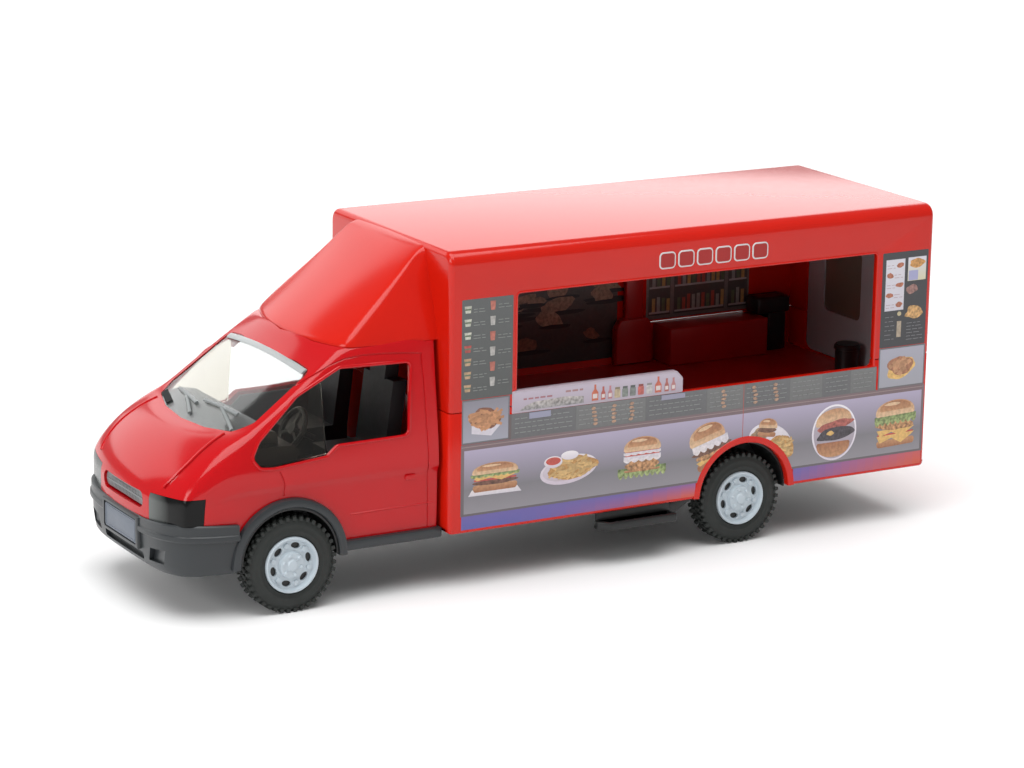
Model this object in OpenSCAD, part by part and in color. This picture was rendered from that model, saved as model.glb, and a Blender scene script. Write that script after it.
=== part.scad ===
// Toy food truck: die-cast cab, plastic serving box, two free-rolling wheel sets.
// Millimetres. Front faces -Y, the serving side is +X, the ground is Z = 0.

/* [Overall] */
// Height of the roof above the ground
roof_h = 67.8; // [64:0.1:72]
// Width of the serving box over its printed sides
box_w = 51.9; // [50:0.1:54]
// Length of the serving box
box_l = 115; // [110:0.5:125]
// How far the bumper stands ahead of the box
nose_l = 58.5; // [57:0.1:60]
// Height of the underside of the box
box_z = 11.3; // [10.8:0.1:12]
// Height of the joint between the lower and upper box shells
seam_z = 35.9; // [35:0.1:37]
// Rounding of the roof edges
roof_r = 2.6; // [1.5:0.1:4]
// Thickness of the plastic walls
wall = 1.5; // [1.2:0.1:2]
// Thickness of the printed sheets
sheet_t = 0.15; // [0.1:0.01:0.25]

/* [Cab] */
// Width of the cab over the doors
cab_w = 47; // [45:0.1:48]
// Thickness of the metal shell
skin = 1.3; // [1:0.1:1.6]

/* [Wheels] */
// Outer radius of the tyres
tyre_r = 9.6; // [9:0.1:9.8]
// Width of a tyre
tyre_w = 5.4; // [5:0.1:8]
// Radius of the visible rim
rim_r = 5.6; // [5:0.1:6]
// Distance of a hub's outer face from the centre plane
hub_x = 24.7; // [24:0.1:25]
// Front axle ahead of the box front
front_axle_d = 33.2; // [33:0.1:34]
// Rear axle behind the box front
rear_axle_d = 69.4; // [68:0.1:71]
// Radius of the steel axles
axle_r = 1; // [0.8:0.05:1.2]

/* [Serving window] */
// Front edge of the window behind the box front
win_y0 = 14.8; // [13:0.1:18]
// Rear edge of the window behind the box front
win_y1 = 100.8; // [95:0.1:101]
// Height of the window sill
win_z0 = 34.4; // [34:0.1:35]
// Height of the window's top edge
win_z1 = 58.8; // [56:0.1:60]

/* [Mounting] */
// Radius of the two packing-screw bores
screw_r = 1.25; // [1:0.05:1.5]
// Depth of the packing-screw bores
screw_d = 6; // [4:0.5:7]

/* [Hidden] */

// The box front stands at y = box_y, so that the origin is under the middle.
box_y = (nose_l - box_l) / 2;
half_w = box_w / 2 - sheet_t;       // outer face of the box walls
in_w = half_w - wall;               // inner face of the box walls
cab_hw = cab_w / 2;
floor_z = 27.5;                     // kitchen floor
arch_r = 10.9;                      // rear wheel opening
flare_r = 12.1;                     // outer edge of the front flare
flare_in = 10.4;
flare_z = 10.4;

// ---------- helpers ----------

module at_box() translate([0, box_y, 0]) children();

// A block from corner a to corner b.
module block(a, b) translate(a) cube(b - a);

// A rectangle with round corners, from corner a to corner b.
module round_rect(a, b, r) {
    for (x = [a[0] + r, b[0] - r]) for (y = [a[1] + r, b[1] - r])
        translate([x, y]) circle(r, $fn = 32);
    translate([a[0] + r, a[1]]) square([b[0] - a[0] - 2 * r, b[1] - a[1]]);
    translate([a[0], a[1] + r]) square([b[0] - a[0], b[1] - a[1] - 2 * r]);
}

// A side view (y, z), extruded across the vehicle from x0 to x1.
module across(x0, x1)
    translate([x0, 0, 0]) rotate([90, 0, 90]) linear_extrude(x1 - x0) children();

// A front view (x, z), extruded along the vehicle from y0 to y1.
module along(y0, y1)
    translate([0, y1, 0]) rotate([90, 0, 0]) linear_extrude(y1 - y0) children();

// A cylinder lying across the vehicle, about the axle line at [y, z].
module lying(x0, x1, r, y, z) translate([x0, y, z]) rotate([0, 90, 0]) cylinder(r = r, h = x1 - x0, $fn = 96);

// ---------- cab ----------

// Cab stations, rear to nose: y at the side, y at the middle, half width at the
// shoulder, height at the shoulder, height at the middle.
STATIONS = [
    [-1, -1, 20.9, 50.7, 52], [-10, -11, 20.2, 50.6, 51.8], [-19.2, -22.6, 18.9, 50.1, 50.9],
    [-20.6, -24.2, 18.9, 49.5, 50], [-24.6, -27.2, 19.3, 46.8, 46.6], [-31.8, -35.6, 20, 41.8, 40.6],
    [-38.4, -43.8, 20.7, 36.9, 35], [-40.4, -46, 21.2, 35.8, 34.3], [-44.4, -48.8, 21.9, 34, 33.6],
    [-49, -52.4, 22.1, 31.1, 31.2], [-52.6, -55.4, 22.2, 27.8, 28.4], [-54.6, -57.1, 22.2, 25.5, 26],
    [-55.2, -57.8, 22, 24.3, 24.1]
];
// Fractions of the half width at which the top is drawn.
ACROSS = [0, 0.22, 0.45, 0.68, 0.88, 1];
// Heights of the lines drawn along the side, below the shoulder.
BELT = [12.6, 17.5, 22.6, 24.7, 26.2, 29];
side_n = len(BELT) + 1;
// Half of the front view and of the plan of the space inside the cab.
HALF_HOLLOW = [[cab_hw - skin - 0.4, 10], [cab_hw - skin, 25], [cab_hw - skin, 33], [19.7, 46.5], [17.6, 48.9]];
HOLLOW_PLAN = [
    [cab_hw - skin, 2], [cab_hw - skin, -42], [21.2, -46], [20.8, -50], [20, -52.5], [17.5, -54.3],
    [11, -55.7], [2, -56.3]
];

// Half width of the cab at height z, along the doors.
function door_x(z) = z < 25 ? 23.1 + 0.4 * (z - 12) / 13 : z > 33 ? cab_hw - (z - 33) * 0.155 : cab_hw;

// A point on the top of station s at fraction u.
function top_point(s, u) = let (bow = 1 - pow(abs(u), 2.2), crown = 1 - pow(abs(u), 2.4))
    [u * s[2], s[0] + (s[1] - s[0]) * bow, s[3] + (s[4] - s[3]) * crown];

// Heights of the side points of station s: squeezed where the shoulder is low.
function side_z(s, i) = let (top = s[3] - 2.4, low = 17.5, high = min(29, top - 0.8))
    i == side_n - 1 ? top : BELT[i] <= low ? BELT[i] : low + (BELT[i] - low) * (high - low) / (29 - low);

function side_x(s, z) = let (f = min(max((-44 - s[0]) / 9, 0), 1))
    min(door_x(z) * (1 - pow(f, 1.6)) + (s[2] + 0.4) * pow(f, 1.6), s[0] < -38 && z > 31 ? s[2] + 1 : 99);

function side_point(s, i) = let (z = side_z(s, i)) [side_x(s, z), s[0], z];

function flip(p) = [-p[0], p[1], p[2]];
function backwards(list) = [for (i = [len(list) - 1:-1:0]) list[i]];

// One closed ring round the cab: up the left side, over the top, down the right.
function ring(s) = let (
    up = concat([for (i = [0:side_n - 1]) side_point(s, i)], [for (u = backwards(ACROSS)) top_point(s, u)])
) concat(up, [for (i = [len(up) - 2:-1:0]) flip(up[i])]);

// The nose wall: one row for each side height, from the left corner to the right.
function nose_row(s, i) = let (p = side_point(s, i), deep = s[1] - s[0] - 0.3)
    [for (u = concat(backwards(ACROSS), [for (k = [1:len(ACROSS) - 1]) -ACROSS[k]]))
        [u * p[0], p[1] + deep * (1 - pow(abs(u), 2.6)), p[2]]];

module cab_solid() {
    last = STATIONS[len(STATIONS) - 1];
    ring_n = 2 * (side_n + len(ACROSS)) - 1;
    row_n = 2 * len(ACROSS) - 1;
    rings = [for (s = STATIONS) ring(s)];
    ring_at = function(k, i) k * ring_n + i;
    nose_at = function(j, i) len(STATIONS) * ring_n + j * row_n + i;
    tip = len(STATIONS) - 1;
    points = concat(
        [for (r = rings) each r],
        [for (j = [0:side_n - 1]) each nose_row(last, j)]
    );
    // the row of nose points at height j, whose two ends are ring points
    edge = function(j, i) j == side_n ? ring_at(tip, side_n + i)
        : i == 0 ? ring_at(tip, j) : i == row_n - 1 ? ring_at(tip, ring_n - 1 - j) : nose_at(j, i);
    skin_faces = [for (k = [0:tip - 1]) for (i = [0:ring_n - 2]) each [
        [ring_at(k, i), ring_at(k, i + 1), ring_at(k + 1, i + 1)],
        [ring_at(k, i), ring_at(k + 1, i + 1), ring_at(k + 1, i)]]];
    nose_faces = [for (j = [0:side_n - 1]) for (i = [0:row_n - 2]) each [
        [edge(j, i), edge(j + 1, i), edge(j + 1, i + 1)],
        [edge(j, i), edge(j + 1, i + 1), edge(j, i + 1)]]];
    mid = side_n + len(ACROSS) - 1;
    rear_faces = concat([for (i = [0:mid - 2]) each [
        [ring_at(0, i + 1), ring_at(0, i), ring_at(0, ring_n - 1 - i)],
        [ring_at(0, i + 1), ring_at(0, ring_n - 1 - i), ring_at(0, ring_n - 2 - i)]]],
        [[ring_at(0, mid), ring_at(0, mid - 1), ring_at(0, mid + 1)]]);
    // pairs of points across the bottom, from the rear to the nose
    under = concat([for (k = [0:tip]) [ring_at(k, 0), ring_at(k, ring_n - 1)]],
        [for (i = [1:len(ACROSS) - 2]) [edge(0, i), edge(0, row_n - 1 - i)]]);
    bottom_faces = concat([for (k = [0:len(under) - 2]) each [
        [under[k][0], under[k + 1][0], under[k + 1][1]], [under[k][0], under[k + 1][1], under[k][1]]]],
        [[under[len(under) - 1][0], edge(0, len(ACROSS) - 1), under[len(under) - 1][1]]]);
    polyhedron(points, convexity = 6, faces =
        [for (f = concat(skin_faces, nose_faces, rear_faces, bottom_faces)) [f[0], f[2], f[1]]]);
}

// The space inside the cab: its side view, its front view and its plan.
module cab_hollow() intersection() {
    across(-24, 24) polygon([
        [1, 10], [1, 47], [-3, 48.9], [-17.8, 48.2], [-19.4, 47.8], [-23.3, 44.8], [-30.8, 39.4], [-38, 34],
        [-40, 32.9], [-44, 31.6], [-49, 29.2], [-52.6, 25.8], [-54.6, 23.2], [-56.8, 22.6], [-56.8, 10]
    ]);
    along(-60, 2) polygon([for (s = [1, -1])
        for (p = s > 0 ? HALF_HOLLOW : backwards(HALF_HOLLOW)) [s * p[0], p[1]]]);
    linear_extrude(60) polygon([for (s = [1, -1])
        for (p = s > 0 ? HOLLOW_PLAN : backwards(HOLLOW_PLAN)) [s * p[0], p[1]]]);
}

// The side window, with its stepped sill and the rounded quarter light.
module side_window() polygon([
    [-6, 46.3], [-21.2, 46.5], [-30.5, 41.9], [-38.9, 34.1], [-40.5, 32.4], [-40.8, 31],
    [-39.7, 29.5], [-36.4, 28.9], [-25.1, 29.9], [-22.8, 31.8], [-7.4, 32]
]);

// The windscreen opening, seen from above.
module screen_opening() polygon([
    [-17.8, -25.2], [-9, -26.7], [0, -27.2], [9, -26.7], [17.8, -25.2], [18.8, -39.6], [16.6, -42.2],
    [9, -44.4], [0, -45.3], [-9, -44.4], [-16.6, -42.2], [-18.8, -39.6]
]);

// The room taken by the left headlamp, wrapped round the corner.
module lamp_room(gap) block([11.8 - gap, -60, 18.5 - gap], [30, -50.4 + gap, 24.1 + gap]);

module cab_shell() at_box() color("crimson") difference() {
    cab_solid();
    cab_hollow();
    across(-30, 30) side_window();
    translate([0, 0, 33]) linear_extrude(13.4) screen_opening();
    for (s = [-1, 1]) lying(s > 0 ? 14 : -30, s > 0 ? 30 : -14, flare_r + 0.05, -front_axle_d, flare_z);
    block([-30, -60, 10], [30, -43.8, 18.45]);
    block([-30, -2, 10], [30, 0, 12.65]);
    lamp_room(0.05);
    mirror([1, 0, 0]) lamp_room(0.05);
    block([-9.7, -60, 19.4], [9.7, -55, 23.4]);
    translate([0, 0, 49.85]) linear_extrude(5) fairing_plan(-0.1);
}

module cab_glazing() at_box() color([0.75, 0.78, 0.78, 0.5]) {
    // windscreen
    intersection() {
        translate([0, 0, 30]) linear_extrude(20) polygon([
            [-17.4, -25.7], [-9, -27], [0, -27.5], [9, -27], [17.4, -25.7], [18.4, -39.4], [16.2, -41.8], [9, -43.9], [0, -44.8],
            [-9, -43.9], [-16.2, -41.8], [-18.4, -39.4]
        ]);
        across(-19, 19) polygon([[-25.4, 44.8], [-44.9, 33.9], [-44.9, 33.05], [-25, 44]]);
    }
    // quarter windows
    for (s = [-1, 1]) translate([s > 0 ? 20.6 : -21.3, 0, 0]) across(0, 0.7) polygon([
        [-25, 43.4], [-31.1, 40], [-38.6, 33.4], [-39.6, 31.5], [-39, 30], [-36.4, 29.2], [-25.1, 30.4]
    ]);
}

module headlamp() intersection() {
    difference() { cab_solid(); cab_hollow(); }
    lamp_room(0);
}
module headlamp_left() at_box() color("dimgray") headlamp();
module headlamp_right() at_box() color("dimgray") mirror([1, 0, 0]) headlamp();

module grille() at_box() color("slategray") along(-57.6, -55.6) round_rect([-9.4, 19.7], [9.4, 23.1], 1.5);

// Half the outline of the bumper seen from above, set in by t.
function bumper_plan(t) = [
    [0, -58.5 + t], [12, -58.3 + t], [17.2 - 0.4 * t, -57.4 + t], [20.8 - 0.7 * t, -55.6 + 0.8 * t],
    [23 - t, -52.6 + 0.4 * t], [24.1 - t, -48], [24.1 - t, -43.9]
];

module bumper_ring(z0, z1, t0, t1) translate([0, 0, z0]) linear_extrude(z1 - z0)
    for (m = [0, 1]) mirror([m, 0]) difference() {
        polygon(concat(bumper_plan(t0), [[0, -43.9]]));
        polygon(concat(bumper_plan(t1), [[0, -43]]));
    }

module front_bumper() at_box() color("darkslategray") difference() {
    union() {
        bumper_ring(14.8, 18.4, 0, 2);
        bumper_ring(9, 14.8, 0.6, 2.2);
    }
    lying(-30, 30, flare_in, -front_axle_d, flare_z);
    block([-7.7, -60, 12.5], [7.7, -57.6, 17.7]);
    block([-9, -60, 10.2], [9, -57.2, 11.4]);
}

module number_plate() at_box() color("gray") block([-7.6, -58.2, 12.7], [7.6, -57.6, 17.5]);

// The flare over the front wheel and the sill behind it.
module arch_sill() {
    intersection() {
        difference() {
            lying(21.6, 24.2, flare_r, -front_axle_d, flare_z);
            lying(21, 25, flare_in, -front_axle_d, flare_z);
        }
        block([21, -43.8, flare_z], [25, -20, 30]);
    }
    block([20, -22.7, 10.7], [23.8, -0.3, 12.6]);
}
module arch_sill_left() at_box() color("darkslategray") arch_sill();
module arch_sill_right() at_box() color("darkslategray") mirror([1, 0, 0]) arch_sill();

// ---------- inside the cab ----------

module cab_floor() at_box() color("black") block([-21.4, -45, 20.8], [21.4, -1.5, 22]);

module dashboard() at_box() color("black") across(-20.4, 20.4) polygon([
    [-44, 22.1], [-44, 31.6], [-40.5, 32.6], [-31, 32.2], [-29.5, 30.6], [-33, 26], [-33, 22.1]
]);

wheel_c = [10.5, -26.4, 32.6];
module steering_wheel() at_box() color("black") translate(wheel_c) rotate([62, 0, 0]) {
    rotate_extrude($fn = 48) translate([4, 0]) circle(0.55, $fn = 24);
    cylinder(r = 1.2, h = 0.8, center = true, $fn = 24);
    for (a = [0, 120, 240]) rotate(a + 90) translate([0, -0.35, -0.3]) cube([4, 0.7, 0.6]);
    translate([0, 0, -5.2]) cylinder(r = 0.6, h = 5, $fn = 24);
}

module seat() {
    block([5, -19.5, 22.1], [17.4, -6.6, 27.6]);
    across(5, 17.4) polygon([[-9.8, 27.5], [-7.9, 41.5], [-4.9, 41.5], [-6.6, 27.5]]);
    across(8, 14.4) polygon([[-8.3, 41.4], [-7.7, 45.8], [-4.9, 45.8], [-5.3, 41.4]]);
}
module seat_left() at_box() color("black") seat();
module seat_right() at_box() color("black") mirror([1, 0, 0]) seat();

// ---------- serving box ----------

// The box seen from the front, shrunk by t, cut off below z0.
module box_front_view(t, z0) {
    round_rect([-half_w + t, 20], [half_w - t, roof_h - t], roof_r - 0.6 * t);
    translate([-half_w + t, z0]) square([2 * (half_w - t), 30]);
}

// The doorway in the rear wall, shrunk by t.
door_x0 = -17.7;
door_x1 = 8.4;
module rear_doorway(t) along(box_l - 3, box_l + 1) round_rect([door_x0 + t, 27.7 + t], [door_x1 - t, 57 - t], 2);

module box_plan(t) round_rect([-half_w + t, t], [half_w - t, box_l - t], max(1.2 - 0.6 * t, 0.3));

// The wind fairing over the cab, set in by t: its side view, its front view and its lip from above.
module fairing(t) intersection() {
    across(-22 + t, 22 - t) polygon([
        [3, 49.9], [-19, 49.9], [-24 + 1.2 * t, 49.9], [-23.6 + 1.4 * t, 50.8 - 0.3 * t],
        [-11.6 + 0.8 * t, 59.4 - 0.8 * t], [-5.2 + 0.6 * t, 64.4 - 0.9 * t], [-1, 67.2 - t],
        [1, 67.7 - t], [3, 67.7 - t]
    ]);
    along(-30, 4) polygon([for (s = [1, -1])
        for (p = s > 0 ? [[20.7, 49.5], [15.3, 67], [14, 68]] : [[14, 68], [15.3, 67], [20.7, 49.5]])
            [s * (p[0] - t), p[1]]]);
    translate([0, 0, 40]) linear_extrude(30) fairing_plan(t);
}

module fairing_plan(t) polygon([
    [-18.9 + 0.7 * t, -20], [-12, -22.4 + t], [0, -23.8 + t], [12, -22.4 + t], [18.9 - 0.7 * t, -20],
    [21 - 0.8 * t, 0], [21 - 0.8 * t, 4], [-21 + 0.8 * t, 4], [-21 + 0.8 * t, 0]
]);

module box_upper() at_box() color("orangered") difference() {
    union() {
        intersection() {
            along(0, box_l) box_front_view(0, seam_z);
            translate([0, 0, seam_z]) linear_extrude(40) box_plan(0);
        }
        fairing(0);
    }
    intersection() {
        along(wall, box_l - wall) box_front_view(wall, seam_z - 1);
        translate([0, 0, seam_z - 1]) linear_extrude(40) box_plan(wall);
    }
    difference() {
        translate([0, 0, -0.5]) fairing(1.2);
        block([-30, -0.6, 40], [30, 6, 70]);
    }
    translate([half_w - 3, 0, 0]) across(0, 4) round_rect([win_y0, 30], [win_y1, win_z1], 0.8);
    rear_doorway(0);
}

module box_lower() at_box() color("orangered") difference() {
    intersection() {
        translate([0, 0, box_z]) linear_extrude(seam_z - box_z - 0.05) box_plan(0);
        block([-30, -1, 0], [30, box_l + 1, 40]);
    }
    translate([0, 0, box_z - 1]) linear_extrude(seam_z) box_plan(wall);
    translate([half_w - 3, 0, 0]) across(0, 4) translate([win_y0, win_z0]) square([win_y1 - win_y0, 5]);
    lying(-30, 30, arch_r, rear_axle_d, flare_z + 0.5);
    block([-30, rear_axle_d - arch_r, 5], [30, rear_axle_d + arch_r, flare_z + 0.5]);
    rear_doorway(0);
    rear_lamp(0.02);
    mirror([1, 0, 0]) rear_lamp(0.02);
}

module condiment_board() at_box() color("white") difference() {
    block([in_w, 14.9, win_z0], [half_w, 53.7, 38.9]);
    translate([in_w - 1, 51.9, 37.1]) difference() {
        cube([4, 3, 3]);
        rotate([0, 90, 0]) cylinder(r = 1.8, h = 4, $fn = 32);
    }
}

tile_pitch = 4.45;
module sign_tiles() at_box() color("silver") for (i = [0:5])
    block([half_w, 47.3 + i * tile_pitch, 60.2], [box_w / 2, 47.3 + i * tile_pitch + 3.9, 63.7]);

// The printed sheet on one side, in the lower shell and the upper shell.
module side_print() difference() {
    block([half_w, 2.4, 12], [box_w / 2, 114, 58.4]);
    block([0, win_y0, win_z0], [30, win_y1, 60]);
    lying(0, 30, arch_r + 1.2, rear_axle_d, flare_z + 0.5);
    block([0, rear_axle_d - arch_r - 1.2, 5], [30, rear_axle_d + arch_r + 1.2, flare_z + 0.5]);
}
module side_print_left() at_box() color("lavender") side_print();
module side_print_right() at_box() color("lavender") mirror([1, 0, 0]) side_print();

// ---------- inside the box ----------

module kitchen_floor() at_box() color("orangered")
    block([-in_w + 0.1, wall + 0.1, 26], [in_w - 0.1, box_l - wall - 0.1, floor_z]);

module wall_cabinet() at_box() color("red") difference() {
    block([-in_w + 0.1, 77.5, floor_z], [-16.8, 103, 35.8]);
    block([-20, 79.5, 29.5], [-16, 101, 33.8]);
}

module wall_pilaster() at_box() color("red") {
    block([-in_w + 0.1, 69.7, floor_z], [-in_w + 1.5, 74.3, 64.5]);
    block([-in_w + 0.1, 67.2, floor_z], [-in_w + 2.2, 76.4, 37]);
}

module drinks_post() at_box() color("black") {
    block([-in_w + 0.3, 104.6, floor_z], [-19.4, 109.4, 36.1]);
    block([-in_w + 0.3, 101.4, 36], [-18.8, 110, 39.8]);
}

module waste_bin() at_box() color("black") translate([3.8, 109.6, floor_z]) {
    cylinder(r = 2.6, h = 5.2, $fn = 48);
    translate([0, 0, 5.1]) cylinder(r = 2.9, h = 1.2, $fn = 48);
}

module rear_door() at_box() color("silver") difference() {
    intersection() { rear_doorway(0.05); block([-30, box_l - 1.3, 20], [30, box_l - 0.2, 60]); }
    along(box_l - 2, box_l) round_rect([-11.6, 37.7], [2.3, 53], 1.6);
}

module rear_lamp(gap) block([20 - gap, box_l - 0.6 - gap, 14 - gap], [24 + gap, box_l, 20 + gap]);
module rear_lamp_left() at_box() color("darkred") rear_lamp(0);
module rear_lamp_right() at_box() color("darkred") mirror([1, 0, 0]) rear_lamp(0);

// ---------- underside ----------

boss_y = [-12, 88];

module chassis() at_box() color("black") difference() {
    union() {
        block([-20, -50, 10], [20, -front_axle_d - 11, 11.2]);
        block([-15, -50, 10], [15, box_l - wall - 0.2, 11.2]);
        block([-20, -front_axle_d + 11, 10], [20, -0.3, 11.2]);
        for (y = [-front_axle_d, rear_axle_d])
            for (s = [-1, 1]) block([s * 11.5 - 2, y - 3, 7], [s * 11.5 + 2, y + 3, 12.4]);
        block([-in_w + 0.1, wall + 0.1, 11.4], [in_w - 0.1, rear_axle_d - 12.6, 12.6]);
        block([-15, wall + 0.1, 11.1], [15, rear_axle_d - 12.6, 12.6]);
        block([-15, rear_axle_d + 12.6, 11.1], [15, box_l - wall - 0.2, 12.6]);
        block([-in_w + 0.1, rear_axle_d + 12.6, 11.4], [in_w - 0.1, box_l - wall - 0.2, 12.6]);
        for (y = boss_y) translate([0, y, 10]) cylinder(r = 3, h = screw_d + 1.5, $fn = 48);
    }
    for (y = [-front_axle_d, rear_axle_d]) lying(-30, 30, axle_r + 0.05, y, tyre_r);
    for (y = boss_y) translate([0, y, 9]) cylinder(r = screw_r, h = screw_d + 1, $fn = 48);
}

module side_step() {
    difference() {
        translate([0, 0, 7.7]) linear_extrude(1.7) polygon([
            [21, 34], [24.9, 34], [27.3, 36.4], [27.3, 52.2], [21, 52.2]
        ]);
        translate([0, 0, 8.4]) linear_extrude(2) polygon([
            [22, 34.8], [24.6, 34.8], [26.5, 36.8], [26.5, 51.4], [22, 51.4]
        ]);
    }
    block([20, 34, 7.7], [21.3, 52.2, 11.35]);
    // bracket running up to the base plate behind the step
    across(22.6, 24.2) polygon([[52, 7.7], [58, 11.3], [53, 11.3], [50, 9.3]]);
}
module side_step_left() at_box() color("black") side_step();
module side_step_right() at_box() color("black") mirror([1, 0, 0]) side_step();

// ---------- wheels ----------

module axle(y) lying(-hub_x + 1.2, hub_x - 1.2, axle_r, y, tyre_r);
module front_axle() at_box() color("silver") axle(-front_axle_d);
module rear_axle() at_box() color("silver") axle(rear_axle_d);

// A hub on the left side, turned about its own axis: outer face at hub_x.
module hub(y) translate([hub_x, y, tyre_r]) rotate([0, -90, 0]) difference() {
    rotate_extrude($fn = 96) polygon([
        [axle_r, 1.2], [0, 1.2], [0, 0.3], [2.2, 0], [3.2, 0.5], [4.6, 0.9], [5.1, 0],
        [rim_r, 0], [rim_r, tyre_w - 0.8], [4.6, tyre_w - 0.8], [4.6, 2.2], [2, 2.4], [2, 5], [axle_r, 5]
    ]);
    for (i = [0:5]) rotate(i * 60 + 30) translate([3.9, 0, -1]) cylinder(r = 0.55, h = 6, $fn = 24);
}
module tyre(y) translate([hub_x - 0.4, y, tyre_r]) rotate([0, -90, 0])
    rotate_extrude($fn = 96) polygon([
        [rim_r, 0.2], [6.2, -0.1], [7.2, 0], [8.7, 0.8], [9.4, 1.6], [tyre_r, 2.2],
        [tyre_r, tyre_w - 2.2], [9.4, tyre_w - 1.6], [8.7, tyre_w - 0.8], [7.2, tyre_w],
        [rim_r, tyre_w]
    ]);

module hub_front_left() at_box() color("lightsteelblue") hub(-front_axle_d);
module hub_front_right() at_box() color("lightsteelblue") mirror([1, 0, 0]) hub(-front_axle_d);
module hub_rear_left() at_box() color("lightsteelblue") hub(rear_axle_d);
module hub_rear_right() at_box() color("lightsteelblue") mirror([1, 0, 0]) hub(rear_axle_d);
module tyre_front_left() at_box() color("dimgray") tyre(-front_axle_d);
module tyre_front_right() at_box() color("dimgray") mirror([1, 0, 0]) tyre(-front_axle_d);
module tyre_rear_left() at_box() color("dimgray") tyre(rear_axle_d);
module tyre_rear_right() at_box() color("dimgray") mirror([1, 0, 0]) tyre(rear_axle_d);

cab_shell();
cab_glazing();
headlamp_left();
headlamp_right();
grille();
front_bumper();
number_plate();
arch_sill_left();
arch_sill_right();
cab_floor();
dashboard();
steering_wheel();
seat_left();
seat_right();
box_upper();
box_lower();
condiment_board();
sign_tiles();
side_print_left();
side_print_right();
kitchen_floor();
wall_cabinet();
wall_pilaster();
drinks_post();
waste_bin();
rear_door();
rear_lamp_left();
rear_lamp_right();
chassis();
side_step_left();
side_step_right();
front_axle();
rear_axle();
hub_front_left();
hub_front_right();
hub_rear_left();
hub_rear_right();
tyre_front_left();
tyre_front_right();
tyre_rear_left();
tyre_rear_right();
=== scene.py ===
import math
import random

import bmesh
import bpy
from mathutils import Matrix, Vector
from mathutils.bvhtree import BVHTree


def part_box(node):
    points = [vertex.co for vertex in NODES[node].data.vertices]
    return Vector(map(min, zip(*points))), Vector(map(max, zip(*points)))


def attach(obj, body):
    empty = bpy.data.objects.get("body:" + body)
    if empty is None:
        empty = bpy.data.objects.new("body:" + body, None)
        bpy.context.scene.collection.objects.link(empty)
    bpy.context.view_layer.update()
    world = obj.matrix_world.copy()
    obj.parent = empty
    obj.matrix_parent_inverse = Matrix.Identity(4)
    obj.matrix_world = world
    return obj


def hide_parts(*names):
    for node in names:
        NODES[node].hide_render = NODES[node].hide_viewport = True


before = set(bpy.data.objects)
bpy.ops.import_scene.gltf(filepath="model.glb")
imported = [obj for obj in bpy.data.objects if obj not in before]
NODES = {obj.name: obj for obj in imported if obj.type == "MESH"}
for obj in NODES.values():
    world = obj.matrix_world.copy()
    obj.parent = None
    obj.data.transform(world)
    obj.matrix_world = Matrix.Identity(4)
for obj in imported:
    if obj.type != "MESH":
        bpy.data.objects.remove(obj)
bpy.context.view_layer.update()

# All shapes are written in millimetres with y = 0 at the front of the serving box.
MM = 0.001
BOX_FRONT = -28.25
BOX_LENGTH = 115
BOX_SIDE = 25.8
AXLE_HEIGHT = 9.6
FRONT_AXLE, REAR_AXLE = -33.2, 69.4
# middles (y, z) of the wheel arches in the cab and in the box
ARCH = (FRONT_AXLE, 10.4)
REAR_ARCH = (REAR_AXLE, 10.9)
AXES = {
    "x": lambda u, v, w: (w, u, v),
    "y": lambda u, v, w: (u, w, v),
    "z": lambda u, v, w: (u, v, w),
}


# ---------- materials ----------

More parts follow.
